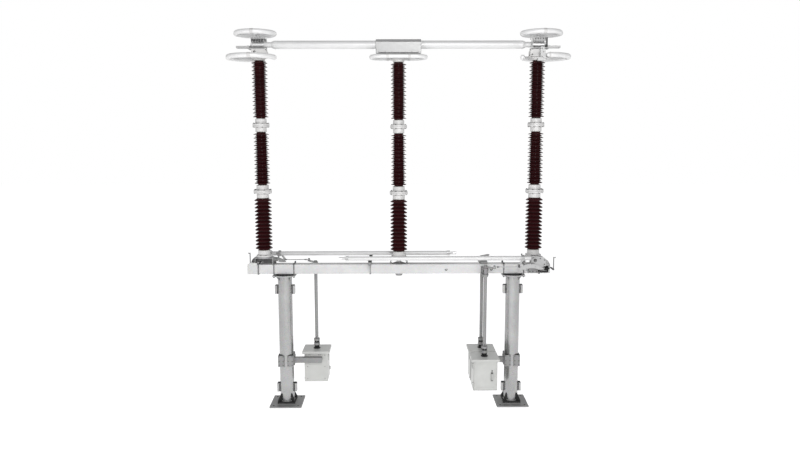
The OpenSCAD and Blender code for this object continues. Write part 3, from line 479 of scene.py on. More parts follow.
# Black rubber serves real rubber parts and dark linings and strips that are painted shade.
RUBBER_AND_SHADE = rubber()
CEMENT = cement()
BOLT = bolt_metal()
GEAR = cast_metal("gear_casting", 0.2)
WELD = cast_metal("weld_bead", 0.34)
CONTACT = spun_aluminium("plated_contact", 0.78, (10, 10, 10), metallic=0.8)
GUARD = spun_aluminium("guard_sheet", 0.33, (3, 8, 8))
CLAMP = galvanised("clamp_steel", 0.13)

CAD_MATERIALS = {
    STEEL: ["base_plates", "arm_clamps", "drive_arms", "shaft_bearings", "centre_bearing",
            "column_stools", "blade_rest", "earth_brackets", "shaft_main", "shaft_front",
            "shaft_left", "main_link"],
    LEG_STEEL: ["leg_left", "leg_right"],
    BEAM_STEEL: ["beam", "end_cheeks"],
    # The foot block in base_gussets is coloured dark as painted shade around the foot of the leg.
    DARK_STEEL_AND_SHADE: ["base_gussets", "contact_stops"],
    CLAMP: ["beam_clamps", "indicator_rods"],
    GUARD: ["spring_guards"],
    SPRING: ["balance_springs"],
    # The leg pads are real rubber pads, and their black also stands in for the contact shadow under the beam:
    # painted shade.
    RUBBER_AND_SHADE: ["leg_pads", "blade_rest_pads"],
    PAINT: ["cabinet_mounts", "cabinet_left", "cabinet_front", "cabinet_rear",
            "door_front", "door_left", "door_rear"],
    GEAR: ["drive_units"],
    CAST: ["fittings_left", "fittings_right", "fittings_centre", "rotor_base", "rotor_head", "contact_bases"],
    ALU: ["main_blade", "blade_tips", "earth_tube_right", "earth_tube_left"],
    RING_ALU: ["top_rings", "grading_ring_left", "grading_ring_right", "centre_ring"],
    SHEET_ALU: ["blade_hood", "contact_boxes", "contact_fingers"],
    PLATE_ALU: ["earth_contacts", "terminals", "earth_root_right", "earth_root_left",
                "earth_link_right", "earth_link_left"],
}


def dress_cad_nodes():
    for material, nodes in CAD_MATERIALS.items():
        for name in nodes:
            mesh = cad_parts[name].data
            mesh.materials.clear()
            mesh.materials.append(material)


# ---------------------------------------------------------------- insulator columns

SHED_PITCH = 0.070
CAP_H = 0.120
TOP_CAP_H = 0.056
CENTRE_CAP_H = 0.118
LOW_CORE_R = 0.104
HIGH_CORE_R = 0.086
PLAIN_SHED_R = 0.162
WIDE_SHED_R = 0.144
NARROW_SHED_R = 0.119
FLANGE_HALF_T = 0.028


def shed_profile(core, rim, z, rise):
    """Under side with a drip lip, round rim and a sloped top."""
    return [(core, z - 0.007), (rim - 0.022, z - 0.0075), (rim - 0.012, z - 0.0115),
            (rim - 0.004, z - 0.0115), (rim, z - 0.006), (rim - 0.003, z - 0.0005),
            (rim - 0.02, z + rise * 0.34), (core + 0.012, z + rise * 0.85), (core, z + rise)]


def unit_profile(height, count, core, sheds, rise):
    """Profile of one porcelain unit; sheds is the list of rims that take turns."""
    turns = len(sheds)
    first = (height - (count - 1) * SHED_PITCH) / 2
    points = [(0, 0), (core - 0.012, 0), (core - 0.012, 0.006), (core, 0.014)]
    for i in range((count - 1) * turns + 1):
        points += shed_profile(core, sheds[i % turns], first + i * SHED_PITCH / turns, rise)
    points += [(core, height - 0.010), (core - 0.012, height - 0.004), (core - 0.012, height), (0, height)]
    return points


def porcelain_column(name, node, body, x, z0, low_cap):
    """The three porcelain units of one column, in place of the CAD node."""
    shape = Shape(name)
    low_h = unit_h - CAP_H - low_cap
    mid_h = unit_h - 2 * CAP_H
    top_h = unit_h - CAP_H - TOP_CAP_H
    by_turns = [WIDE_SHED_R, NARROW_SHED_R]
    stack = [
        (z0 + low_cap, unit_profile(low_h, 14, LOW_CORE_R, [PLAIN_SHED_R], 0.036)),
        (z0 + unit_h + CAP_H, unit_profile(mid_h, 14, HIGH_CORE_R, by_turns, 0.018)),
        (z0 + 2 * unit_h + CAP_H, unit_profile(top_h, 15, HIGH_CORE_R, by_turns, 0.018)),
    ]
    for z, profile in stack:
        shape.add(lathe(profile, 72), Matrix.Translation((x, 0, z)))
    shape.finish(GLAZE, body, "porcelain", [node], smooth=50)


def column_details(name, body, x, z0, low_cap):
    """Cement joints and flange bolts of one column's fittings."""
    joints = Shape(name + "_cement")
    bolts = Shape(name + "_bolts")
    ends = [(z0 + low_cap, 1, LOW_CORE_R), (z0 + unit_h - CAP_H, -1, LOW_CORE_R),
            (z0 + unit_h + CAP_H, 1, HIGH_CORE_R), (z0 + 2 * unit_h - CAP_H, -1, HIGH_CORE_R),
            (z0 + 2 * unit_h + CAP_H, 1, HIGH_CORE_R), (z0 + 3 * unit_h - TOP_CAP_H, -1, HIGH_CORE_R)]
    for z, way, core in ends:
        rim = [(core - 0.004, 0), (core + 0.012, 0), (core + 0.010, 0.003 * way), (core - 0.004, 0.005 * way)]
        joints.add(lathe(rim, 48, closed=True), Matrix.Translation((x, 0, z)))
    half = Vector((0, 0, FLANGE_HALF_T))
    for z, r in ((z0 + unit_h, 0.150), (z0 + 2 * unit_h, 0.137)):
        for at in around((x, 0, z), r, 8):
            bolt(bolts, at + half, UP, 0.015, shank=0.008)
            bolt(bolts, at - half, DOWN, 0.015)
    for at in around((x, 0, z0 + 0.020), 0.136, 8):
        bolt(bolts, at, UP, 0.012, shank=0.006)
    joints.finish(CEMENT, body, "fitting_metal")
    bolts.finish(BOLT, body, "galvanised")


def insulators():
    for side, body, x, z0, cap in (("right", ROOT, col_x, column_low, CAP_H),
                                   ("left", ROOT, -col_x, column_low, CAP_H),
                                   ("centre", BLADE, 0, centre_low, CENTRE_CAP_H)):
        name = "porcelain_stack_" + side
        porcelain_column(name, "porcelain_" + side, body, x, z0, cap)
        column_details(name, body, x, z0, cap)


# ---------------------------------------------------------------- smaller parts

SIDES = (("right", Matrix.Identity(4)), ("left", half_turn()))
LEG_R = 0.1365
ANCHOR_PITCH = 0.470
FOOT_HALF = LEG_R + 0.030
FOOT_H = 0.045
LUG_OUT = 0.055
LUG_H = 0.160
FLANGE_T = 0.025
ARM_Z = 0.865
ARM_HALF = 0.050
CAB_HALF = 0.225
CAB_D = 0.400
CAB_H = 0.585
CAB_GAP = 0.070
LID_T = 0.030
DOOR_T = 0.018
DOOR_GAP = 0.002
SHAFT_Y = 0.275
SHAFT_HOLE = CAB_GAP - SHAFT_Y
MAIN_LEVER_ANGLE = 55
MAIN_THROW = 0.240
EARTH_THROW = 0.208 * math.cos(math.pi / 4)
TOP_RING_R = 0.342
LOW_RING_R = 0.419
RING_SADDLE_R = 0.0445
EARTH_COLLAR_X = 3.510
EARTH_ROD_X = 3.655

plate_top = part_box("base_plates")[1].z
leg_x = centre_of("leg_right").x
flange_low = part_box("leg_right")[1].z - FLANGE_T
cab_x = centre_of("cabinet_front").x
cab_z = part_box("cabinet_front")[0].z
coupling_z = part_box("cabinet_front")[1].z
beam_face = -beam_low.y
pivot = Vector((col_x - 0.035, -0.300, beam_high.z + 0.124))


def move(*at):
    return Matrix.Translation(at)


def facing(at, axis):
    return along(at, Vector(at) + Vector(axis))


def collar(shape, at, axis, inner, outer, length, round_=0.003, segments=40):
    """A round band with softened rims, its near face at the given point."""
    profile = [(inner, 0), (outer - round_, 0), (outer, round_), (outer, length - round_),
               (outer - round_, length), (inner, length)]
    shape.add(lathe(profile, segments, closed=True), facing(at, axis))


def plate(shape, at, size, bevel=0.0015):
    shape.add(block(size, bevel), move(*at))


def coil(shape, start, end, radius, wire, turns):
    """A helical spring between two points."""
    start, end = Vector(start), Vector(end)
    length = (end - start).length
    steps = turns * 20
    points = []
    for i in range(steps + 1):
        a = 2 * math.pi * turns * i / steps
        points.append((radius * math.cos(a), radius * math.sin(a), length * i / steps))
    shape.add(tube_along(points, wire, 8), along(start, end))


def leg_details():
    """Painted shade in the anchor holes, welds, and painted shade strips at the lugs."""
    hole_shades = Shape("anchor_hole_shade")
    welds = Shape("leg_welds")
    lug_shades = Shape("lug_shade_strips")
    # Each anchor hole gets a dark lining: painted shade where the open hole looks dark.
    sleeve = [(0, 0.002), (0.0172, 0.002), (0.0172, plate_top - 0.002), (0.0155, plate_top - 0.001),
              (0.0150, 0.006), (0, 0.006)]
    for x in (-leg_x, leg_x):
        for sx in (-1, 1):
            for sy in (-1, 1):
                hole_shades.add(lathe(sleeve, 32), move(x + sx * ANCHOR_PITCH / 2, sy * ANCHOR_PITCH / 2, 0))
        bead(welds, ring_path((x, 0, flange_low - 0.003), LEG_R + 0.003), 0.005)
        bead(welds, ring_path((x, 0, plate_top + FOOT_H + 0.003), LEG_R + 0.005), 0.006)
        for sx, sy in ((1, 1), (1, -1), (-1, -1), (-1, 1)):
            start = Vector((x + sx * FOOT_HALF, sy * FOOT_HALF, plate_top + 0.003))
            across = Vector((sx, 0, 0)) if sx == sy else Vector((0, sy, 0))
            bead(welds, [start - across * 2 * FOOT_HALF * i / 24 for i in range(25)], 0.005)
        bead(welds, [(x, LEG_R + 0.0005, 0.45 + (flange_low - 0.60) * i / 90) for i in range(91)], 0.003)
        for low in (0.240, flange_low - 0.350):
            for side in (-1, 1):
                out = x + side * (LEG_R + LUG_OUT / 2)
                # Dark plates on top of each lug and in the strip between lug and leg: painted shade.
                plate(lug_shades, (out - side * 0.004, 0, low + LUG_H + 0.004), (LUG_OUT - 0.008, 0.084, 0.010))
                plate(lug_shades, (x + side * (LEG_R + 0.006), -0.046, low + LUG_H / 2),
                      (0.018, 0.005, LUG_H - 0.006))
                for z in (low, low + LUG_H):
                    bead(welds, [(x + side * (LEG_R + LUG_OUT * i / 8), -0.045, z) for i in range(9)], 0.0025)
    hole_shades.finish(RUBBER_AND_SHADE, ROOT, "rubber_pad")
    welds.finish(WELD, ROOT, "galvanised")
    lug_shades.finish(RUBBER_AND_SHADE, ROOT, "rubber_pad")


def beam_details():
    """Clamp washers, end welds and lifting eyes of the beam."""
    washers = Shape("clamp_washers")
    welds = Shape("beam_welds")
    stud_y = beam_face + 0.010
    for x in (-leg_x, leg_x):
        for dx in (-0.190, 0.190):
            for sy in (-1, 1):
                for z, r in ((flange_low - 0.0145, 0.020), (beam_high.z + 0.0115, 0.019)):
                    collar(washers, (x + dx, sy * stud_y, z), UP, 0.008, r, 0.003, 0.0005, 20)
    for end in (beam_low.x, beam_high.x):
        inset = 0.006
        ring = [(end, -beam_face, beam_low.z + inset), (end, beam_face, beam_low.z + inset),
                (end, beam_face, beam_high.z - inset), (end, -beam_face, beam_high.z - inset)]
        for a, b in zip(ring, ring[1:] + ring[:1]):
            bead(welds, [Vector(a).lerp(Vector(b), i / 20) for i in range(21)], 0.003)
    hooks = Shape("lifting_eyes")
    bend = [math.pi * k / 12 for k in range(13)]
    for _, turn in SIDES:
        hooks.turn = turn
        for x in (1.760, 0.900):
            path = [(x + 0.020 * math.cos(a), -beam_face - 0.004 - 0.022 * math.sin(a),
                     beam_low.z + 0.085 - 0.018 * math.sin(a)) for a in bend]
            hooks.add(tube_along(path, 0.006, 10))
    washers.finish(BOLT, ROOT, "galvanised")
    welds.finish(WELD, ROOT, "beam_paint")
    hooks.finish(DARK_STEEL_AND_SHADE, ROOT, "dark_steel")


def arm_details():
    """Bolts of the arms' clamps and mounts, and the arms' end caps."""
    bolts = Shape("arm_clamp_bolts")
    caps = Shape("arm_end_caps")
    grip = LEG_R + 0.0103
    for _, turn in SIDES:
        bolts.turn = caps.turn = turn
        for way in (-1, 1):
            for half in (-1, 1):
                for dx in (0.048, 0.126):
                    for dz in (-0.075, 0.0, 0.095):
                        bolt(bolts, (leg_x + half * dx, way * grip, ARM_Z + 0.010 + dz), (0, way, 0), 0.009)
                for dz in (-0.072, 0.072):
                    bolt(bolts, (leg_x - grip - 0.012, way * 0.064, ARM_Z + dz), (-1, 0, 0), 0.010)
        plate(caps, (cab_x - 0.121, 0, ARM_Z), (0.006, 0.094, 0.094))
        bead(caps, [(leg_x - grip - 0.014, -ARM_HALF + 0.1 * i / 10, ARM_Z + ARM_HALF + 0.001)
                    for i in range(11)], 0.003)
    bolts.turn = Matrix.Identity(4)
    for sx, sy in ((-1, 1), (1, 1), (1, -1)):
        for dx in (-0.083, -0.053, 0.117, 0.147):
            for dz in (-0.080, 0.080):
                bolt(bolts, (sx * (cab_x + dx), sy * ARM_HALF, ARM_Z + dz), (0, -sy, 0), 0.007)
    bolts.finish(BOLT, ROOT, "galvanised")
    caps.finish(STEEL, ROOT, "galvanised")


def cabinet_details(name, sx, sy):
    """Lid rim, gasket, vents, glands and door trim of one cabinet."""
    place = move(sx * cab_x, sy * CAB_GAP, cab_z)
    if sy > 0:
        place = place @ half_turn()
    trim, seal, black, screws = (Shape(name + part) for part in ("_trim", "_seal", "_fittings", "_screws"))
    for shape in (trim, seal, black, screws):
        shape.turn = place
    over = 0.040
    slat = [(0, 0), (0.010, -0.004), (0.010, -0.007), (0, -0.016)]
    upright = Matrix.Rotation(math.pi / 2, 4, "X")
    for way in (-1, 1):
        plate(trim, (way * (CAB_HALF + over - 0.002), -CAB_D / 2, CAB_H - 0.008),
              (0.004, CAB_D + 2 * over, 0.020))
        plate(trim, (0, -CAB_D / 2 + way * (CAB_D / 2 + over - 0.002), CAB_H - 0.008),
              (2 * (CAB_HALF + over), 0.004, 0.020))
        for corner in (0, -CAB_D):
            edge = [(way * (CAB_HALF - 0.001), corner, 0.01 + (CAB_H - 0.02) * i / 12) for i in range(13)]
            bead(trim, edge, 0.003, 0)
        for row in range(5):
            at = move(way * CAB_HALF, -CAB_D / 2 + way * 0.075, 0.400 + row * 0.022)
            trim.add(prism(slat, 0.150, 0.0006), at @ (upright if way > 0 else half_turn() @ upright))
    for x in (-0.14, 0.0, 0.14):
        collar(black, (x, -0.200, 0), DOWN, 0.004, 0.030, 0.014, 0.002, 6)
        collar(black, (x, -0.200, -0.014), DOWN, 0.004, 0.022, 0.020, 0.005, 24)
    collar(black, (0, SHAFT_HOLE, CAB_H + LID_T), UP, 0.0530, 0.068, 0.012, 0.004)
    door_y = -CAB_D - DOOR_GAP
    half, low, high = CAB_HALF - 0.010, 0.018, CAB_H - 0.018
    for way in (-1, 1):
        plate(seal, (way * (half - 0.008), door_y + 0.001, CAB_H / 2), (0.012, 0.0018, high - low), 0.0003)
    for z in (low + 0.008, high - 0.008):
        plate(seal, (0, door_y + 0.001, z), (2 * half, 0.0018, 0.012), 0.0003)
    for x in (-0.17, 0.17):
        for z in (0.06, 0.30, 0.53):
            bolt(screws, (x, 0, z), (0, 1, 0), 0.006)
    bolt(screws, (CAB_HALF, -0.06, 0.05), (1, 0, 0), 0.009, shank=0.014)
    trim.finish(PAINT, ROOT, "cabinet_paint")
    seal.finish(RUBBER_AND_SHADE, ROOT, "cabinet_paint")
    black.finish(RUBBER_AND_SHADE, ROOT, "cabinet_paint")
    screws.finish(BOLT, ROOT, "cabinet_paint")

    door = name.replace("cabinet", "door")
    border, lock, pins = (Shape(door + part) for part in ("_border", "_lock", "_pins"))
    for shape in (border, lock, pins):
        shape.turn = place
    face = door_y - DOOR_T
    for way in (-1, 1):
        plate(border, (way * (half - 0.006), face - 0.002, CAB_H / 2),
              (0.010, 0.005, high - low - 0.002), 0.0018)
        plate(border, (way * (half - 0.045), face - 0.001, CAB_H / 2),
              (0.006, 0.003, high - low - 0.08), 0.0012)
    for z, inset in ((low + 0.006, 0.0), (high - 0.006, 0.0), (low + 0.045, 0.039), (high - 0.045, 0.039)):
        plate(border, (0, face - 0.0015, z), (2 * (half - inset) - 0.004, 0.004, 0.008), 0.0015)
    handle_x, handle_z = CAB_HALF - 0.102, CAB_H * 0.475
    plate(lock, (handle_x, face - 0.002, handle_z), (0.040, 0.005, 0.170), 0.002)
    collar(lock, (handle_x, face - 0.012, handle_z - 0.040), FRONT, 0.0, 0.012, 0.008, 0.002, 24)
    collar(lock, (handle_x, face, handle_z + 0.115), FRONT, 0.0, 0.013, 0.008, 0.002, 24)
    for z in (handle_z - 0.076, handle_z + 0.076):
        bolt(lock, (handle_x, face - 0.0045, z), FRONT, 0.005, washer=False)
    hinge = (-CAB_HALF - 0.010, door_y - DOOR_T / 2)
    for share in (0.18, 0.82):
        z = share * CAB_H
        collar(pins, (*hinge, z + 0.0603), UP, 0.0, 0.0115, 0.004, 0.0015, 24)
        for dz in (0.040, 0.050):
            bolt(pins, (-CAB_HALF + 0.022, face, z + dz), FRONT, 0.004, washer=False)
    border.finish(PAINT, door, "cabinet_paint")
    lock.finish(RUBBER_AND_SHADE, door, "cabinet_paint")
    pins.finish(BOLT, door, "cabinet_paint")


def shaft_details(name, x, y):
    """Bellows, rubber bushes and studs of one shaft coupling."""
    boots, studs = Shape(name + "_boots"), Shape(name + "_studs")
    ribs = [(0.036, 0.006)]
    for i in range(4):
        z = 0.010 + i * 0.014
        ribs += [(0.040, z), (0.049, z + 0.005), (0.049, z + 0.007), (0.040, z + 0.012)]
    ribs += [(0.036, 0.068)]
    boots.add(lathe(ribs, 40, closed=True), move(x, y, coupling_z))
    collar(boots, (x, y, coupling_z + 0.121), UP, 0.044, 0.052, 0.032, 0.004)
    for at in around((x, y, coupling_z), 0.050, 6):
        collar(studs, at + Vector((0, 0, 0.100)), UP, 0.0, 0.005, 0.075, 0.001, 12)
        for z, way in ((0.070, DOWN), (0.200, UP)):
            bolt(studs, at + Vector((0, 0, z)), way, 0.0075)
    for z in (0.216, 0.236):
        bolt(studs, (x, y - 0.031, coupling_z + z), FRONT, 0.007)
    boots.finish(RUBBER_AND_SHADE, name, "rubber_pad")
    studs.finish(BOLT, name, "galvanised")


def rod_end(shape, at, way, rod_r, nut_r):
    """A jam nut and a sleeve behind the eye of a rod."""
    at, way = Vector(at), Vector(way).normalized()
    bore, height = rod_r * 0.9, nut_r * 0.7
    nut = [(bore, 0), (nut_r, 0), (nut_r, height), (bore, height)]
    shape.add(lathe(nut, 6, closed=True), facing(at, way))
    collar(shape, at + way * height, way, bore, rod_r * 1.25, rod_r * 3.2, 0.002, 24)


def link_details():
    """Pins, nuts and rod ends of the main link and the earthing links."""
    lever_angle = math.radians(MAIN_LEVER_ANGLE)
    tip = Vector((MAIN_THROW * math.cos(lever_angle), MAIN_THROW * math.sin(lever_angle), 0))
    run = Vector((cab_x, SHAFT_Y, 0))
    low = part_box("main_link")[0].z
    for body, at in (("shaft_main", tip + run), (BLADE, tip)):
        pins = Shape("main_pin_" + body)
        bolt(pins, (at.x, at.y, low), DOWN, 0.017)
        pins.finish(BOLT, body, "galvanised")
    link = Shape("main_link_nuts")
    way = run.normalized()
    mid = centre_of("main_link").z
    for at, w in ((tip + way * 0.060, way), (tip + run - way * 0.060, -way)):
        rod_end(link, (at.x, at.y, mid), w, 0.016, 0.028)
    link.finish(BOLT, "main_link", "galvanised")
    for name, turn in SIDES:
        eye_x, eye_y = cab_x + EARTH_THROW, -SHAFT_Y - EARTH_THROW
        link_z = beam_high.z - 0.004
        nuts = Shape("earth_link_nuts_" + name)
        nuts.turn = turn
        rod_end(nuts, (eye_x + 0.050, eye_y, link_z + 0.009), (1, 0, 0), 0.009, 0.017)
        rod_end(nuts, (pivot.x - 0.285, eye_y, link_z + 0.009), (-1, 0, 0), 0.009, 0.017)
        nuts.finish(BOLT, "earth_link_" + name, "bright_metal")
        pin = Shape("earth_lever_pin_" + name)
        pin.turn = turn
        bolt(pin, (eye_x, eye_y, link_z + 0.026), UP, 0.017)
        pin.finish(BOLT, "shaft_front" if name == "right" else "shaft_left", "galvanised")


def spring_details():
    """Coils of the balance springs, and the rims and screws of their guards."""
    for name, turn in SIDES:
        springs, rim, screws = (Shape(part + name) for part in (
            "spring_coil_", "guard_rim_", "guard_screws_"))
        for shape in (springs, rim, screws):
            shape.turn = turn
        at_y, at_z = -beam_face - 0.058, beam_high.z - 0.074
        coil(springs, (col_x + 0.094, at_y, at_z), (col_x + 0.244, at_y, at_z), 0.034, 0.0055, 9)
        for x in (col_x + 0.075, col_x + 0.263):
            way = 1 if x > col_x + 0.2 else -1
            bolt(springs, (x, at_y, at_z), (way, 0, 0), 0.020, shank=0.012 if way > 0 else 0)
        x0, low = col_x + 0.152, beam_high.z - 0.012
        for y in (-beam_face - 0.100, -beam_face - 0.022):
            start = 118 if y < -beam_face - 0.05 else 82
            path = [(x0 + u, y, low + v) for u, v in arc((0, 0), 0.127, 0, start, 30)]
            rim.add(tube_along(path, 0.004, 8))
        path = [(x0 + u, -beam_face - 0.101, low + v) for u, v in arc((0, 0), 0.085, 8, 108, 30)]
        rim.add(tube_along(path, 0.0025, 8))
        for a in (20, 60, 100):
            u, v = 0.106 * math.cos(math.radians(a)), 0.106 * math.sin(math.radians(a))
            bolt(screws, (x0 + u, -beam_face - 0.100, low + v), FRONT, 0.006)
        springs.finish(SPRING, ROOT, "dark_steel")
        rim.finish(STEEL, ROOT, "bright_metal")
        screws.finish(BOLT, ROOT, "bright_metal")


def hood_details():
    """Edge strips, folded lips, screws and tube collars of the hood, and the saddles of its ring."""
    low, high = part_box("blade_hood")
    strip, screws, rings = Shape("hood_edge_strips"), Shape("hood_screws"), Shape("hood_tube_collars")
    lip = Shape("hood_lips")
    for way in (-1, 1):
        face = way * high.y
        for half in (-1, 1):
            plate(strip, (half * 0.192, face + way * 0.001, low.z + 0.012), (0.350, 0.004, 0.014), 0.001)
            fold = [(half * high.x, way * (high.y - 0.001), low.z + 0.01 + 0.16 * i / 10) for i in range(11)]
            bead(lip, fold, 0.005, 0)
        bead(lip, [(low.x + (high.x - low.x) * i / 10, face, low.z + 0.001) for i in range(11)], 0.005, 0)
        notch_y = face + (0.003 if way > 0 else -0.001)
        strip.add(prism([(-0.014, 0), (0.014, 0), (0, 0.030)], 0.002, 0),
                  move(0, notch_y, low.z + 0.004) @ Matrix.Rotation(math.pi / 2, 4, "X"))
        for x in (-0.36, -0.24, -0.12, 0.12, 0.24, 0.36):
            bolt(screws, (x, face, low.z + 0.034), (0, way, 0), 0.006)
            bolt(screws, (x, way * (high.y - 0.075), high.z), UP, 0.006)
        collar(rings, (way * high.x, 0, blade_z), (way, 0, 0), 0.0755, 0.092, 0.010, 0.003, 48)
    for at in around((0, 0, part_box("rotor_head")[0].z), 0.122, 8):
        bolt(screws, at, DOWN, 0.008)
    strip.finish(DARK_STEEL_AND_SHADE, BLADE, "bright_metal")
    lip.finish(SHEET_ALU, BLADE, "bright_metal")
    screws.finish(BOLT, BLADE, "bright_metal")
    rings.finish(CAST, BLADE, "bright_metal")

    saddles = Shape("centre_ring_saddles")
    ring_low, ring_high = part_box("centre_ring")
    ring_z = centre_of("centre_ring").z
    for x in (-0.200, 0.200):
        for y in (ring_low.y + 0.038, ring_high.y - 0.038):
            collar(saddles, (x - 0.024, y, ring_z), (1, 0, 0), 0.0375, 0.0415, 0.048, 0.001, 40)
            way = 1 if y > 0 else -1
            for dx in (-0.012, 0.012):
                bolt(saddles, (x + dx, y - way * 0.052, ring_z + 0.015), UP, 0.007)
    saddles.finish(CAST, BLADE, "bright_metal")


def head_details():
    """Bolts, finger springs, ring saddles and painted shade lines of both heads, and the blade's contact
    bands.
    """
    box_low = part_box("contact_boxes")[0].z
    finger_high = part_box("contact_boxes")[1].z - 0.020
    box_in, box_out = col_x - 0.134, col_x + 0.164
    for name, turn in SIDES:
        bolts, springs, saddles, lines = (Shape(part + name) for part in (
            "head_bolts_", "finger_springs_", "ring_saddles_", "head_shade_lines_"))
        for shape in (bolts, springs, saddles, lines):
            shape.turn = turn
        for sx in (-0.128, 0.128):
            for sy in (-0.128, 0.128):
                bolt(bolts, (col_x + sx, sy, column_top + 0.020), UP, 0.014, shank=0.008)
        for i in range(5):
            x = box_in + 0.038 + i * 0.046 + 0.015
            bolt(bolts, (x, 0.050, finger_high + 0.020), UP, 0.007)
            bolt(bolts, (x, -0.040, finger_high + 0.020), UP, 0.007)
            coil(springs, (x, 0.058, finger_high - 0.020), (x, 0.082, finger_high - 0.020), 0.010, 0.0022, 4)
            bolt(springs, (x, 0.082, finger_high - 0.020), (0, 1, 0), 0.010)
            # A dark plate in the slot beside each finger: painted shade.
            plate(lines, (x + 0.023, -0.087, finger_high + 0.004), (0.013, 0.016, 0.028), 0.001)
        for z in (box_low + 0.040, box_low + 0.100):
            bolt(bolts, (box_in + 0.015, -0.110, z), FRONT, 0.008)
        for sx in (0.010, 0.036):
            for sy in (-0.045, 0.045):
                bolt(bolts, (box_out + sx, sy, box_low + 0.058), UP, 0.009)
        for x in (col_x - 0.110, col_x + 0.105):
            for way in (-1, 1):
                bolt(bolts, (x, way * 0.100, column_top + 0.045), (0, way, 0), 0.010)
        # Dark strips under the contact box and along the column top: painted shade in the seams.
        plate(lines, ((box_in + box_out) / 2, -0.111, box_low - 0.003), (0.290, 0.004, 0.007), 0.001)
        plate(lines, (col_x - 0.010, -0.151, column_top + 0.001), (0.300, 0.003, 0.005), 0.001)
        ring_x, ring_z = col_x + 0.063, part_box("top_rings")[1].z - 0.045
        for k in range(4):
            a = math.pi * k / 2
            out = Vector((math.cos(a), math.sin(a), 0))
            side = Vector((-out.y, out.x, 0))
            at = Vector((ring_x, 0, ring_z)) + out * TOP_RING_R
            collar(saddles, at - side * 0.030, side, RING_SADDLE_R, 0.0485, 0.060, 0.001)
            for w in (-0.014, 0.014):
                bolt(saddles, at - out * 0.075 + side * w + Vector((0, 0, -0.026)), UP, 0.007)
        for at in around((ring_x, 0, ring_z - 0.026), 0.020, 4):
            bolt(bolts, at, UP, 0.006)
        low_ring = Vector((col_x + 0.143, 0, column_top + 0.003))
        for a, way in ((-92, 1), (180, -1)):
            a = math.radians(a)
            out = Vector((math.cos(a), math.sin(a), 0))
            side = Vector((-out.y, out.x, 0)) * way
            at = low_ring + out * LOW_RING_R + side * 0.004
            collar(saddles, at, side, RING_SADDLE_R, 0.0480, 0.020, 0.002)
        for at, side in ((low_ring + Vector((LOW_RING_R, 0, 0)), Vector((0, 1, 0))),
                         (Vector((col_x + 0.110, 0.4175, low_ring.z)), Vector((1, 0.08, 0)).normalized())):
            collar(saddles, at - side * 0.032, side, RING_SADDLE_R, 0.0490, 0.064, 0.001)
        for x in (col_x + 0.095, col_x + 0.130):
            bolt(bolts, (x, 0.130, column_top + 0.032), UP, 0.009)
        for y in (-0.014, 0.014):
            bolt(bolts, (col_x + 0.105, y, column_top + 0.032), UP, 0.009)
            bolt(bolts, (col_x + 0.135, y, column_top + 0.032), UP, 0.009)
        bolts.finish(BOLT, ROOT, "bright_metal")
        springs.finish(SPRING, ROOT, "dark_steel")
        saddles.finish(CAST, ROOT, "bright_metal")
        lines.finish(DARK_STEEL_AND_SHADE, ROOT, "dark_steel")
    tips = Shape("blade_contact_bands")
    for _, turn in SIDES:
        tips.turn = turn
        collar(tips, (col_x - 0.095, 0, blade_z), (1, 0, 0), 0.0495, 0.0512, 0.205, 0.0005, 64)
        collar(tips, (blade_end - 0.012, 0, blade_z), (1, 0, 0), 0.0500, 0.0575, 0.016, 0.003, 48)
        for a in (30, 150, 270):
            out = Vector((0, math.cos(math.radians(a)), math.sin(math.radians(a))))
            bolt(tips, Vector((blade_end - 0.060, 0, blade_z)) + out * 0.0745, out, 0.008)
    tips.finish(CONTACT, BLADE, "bright_metal")


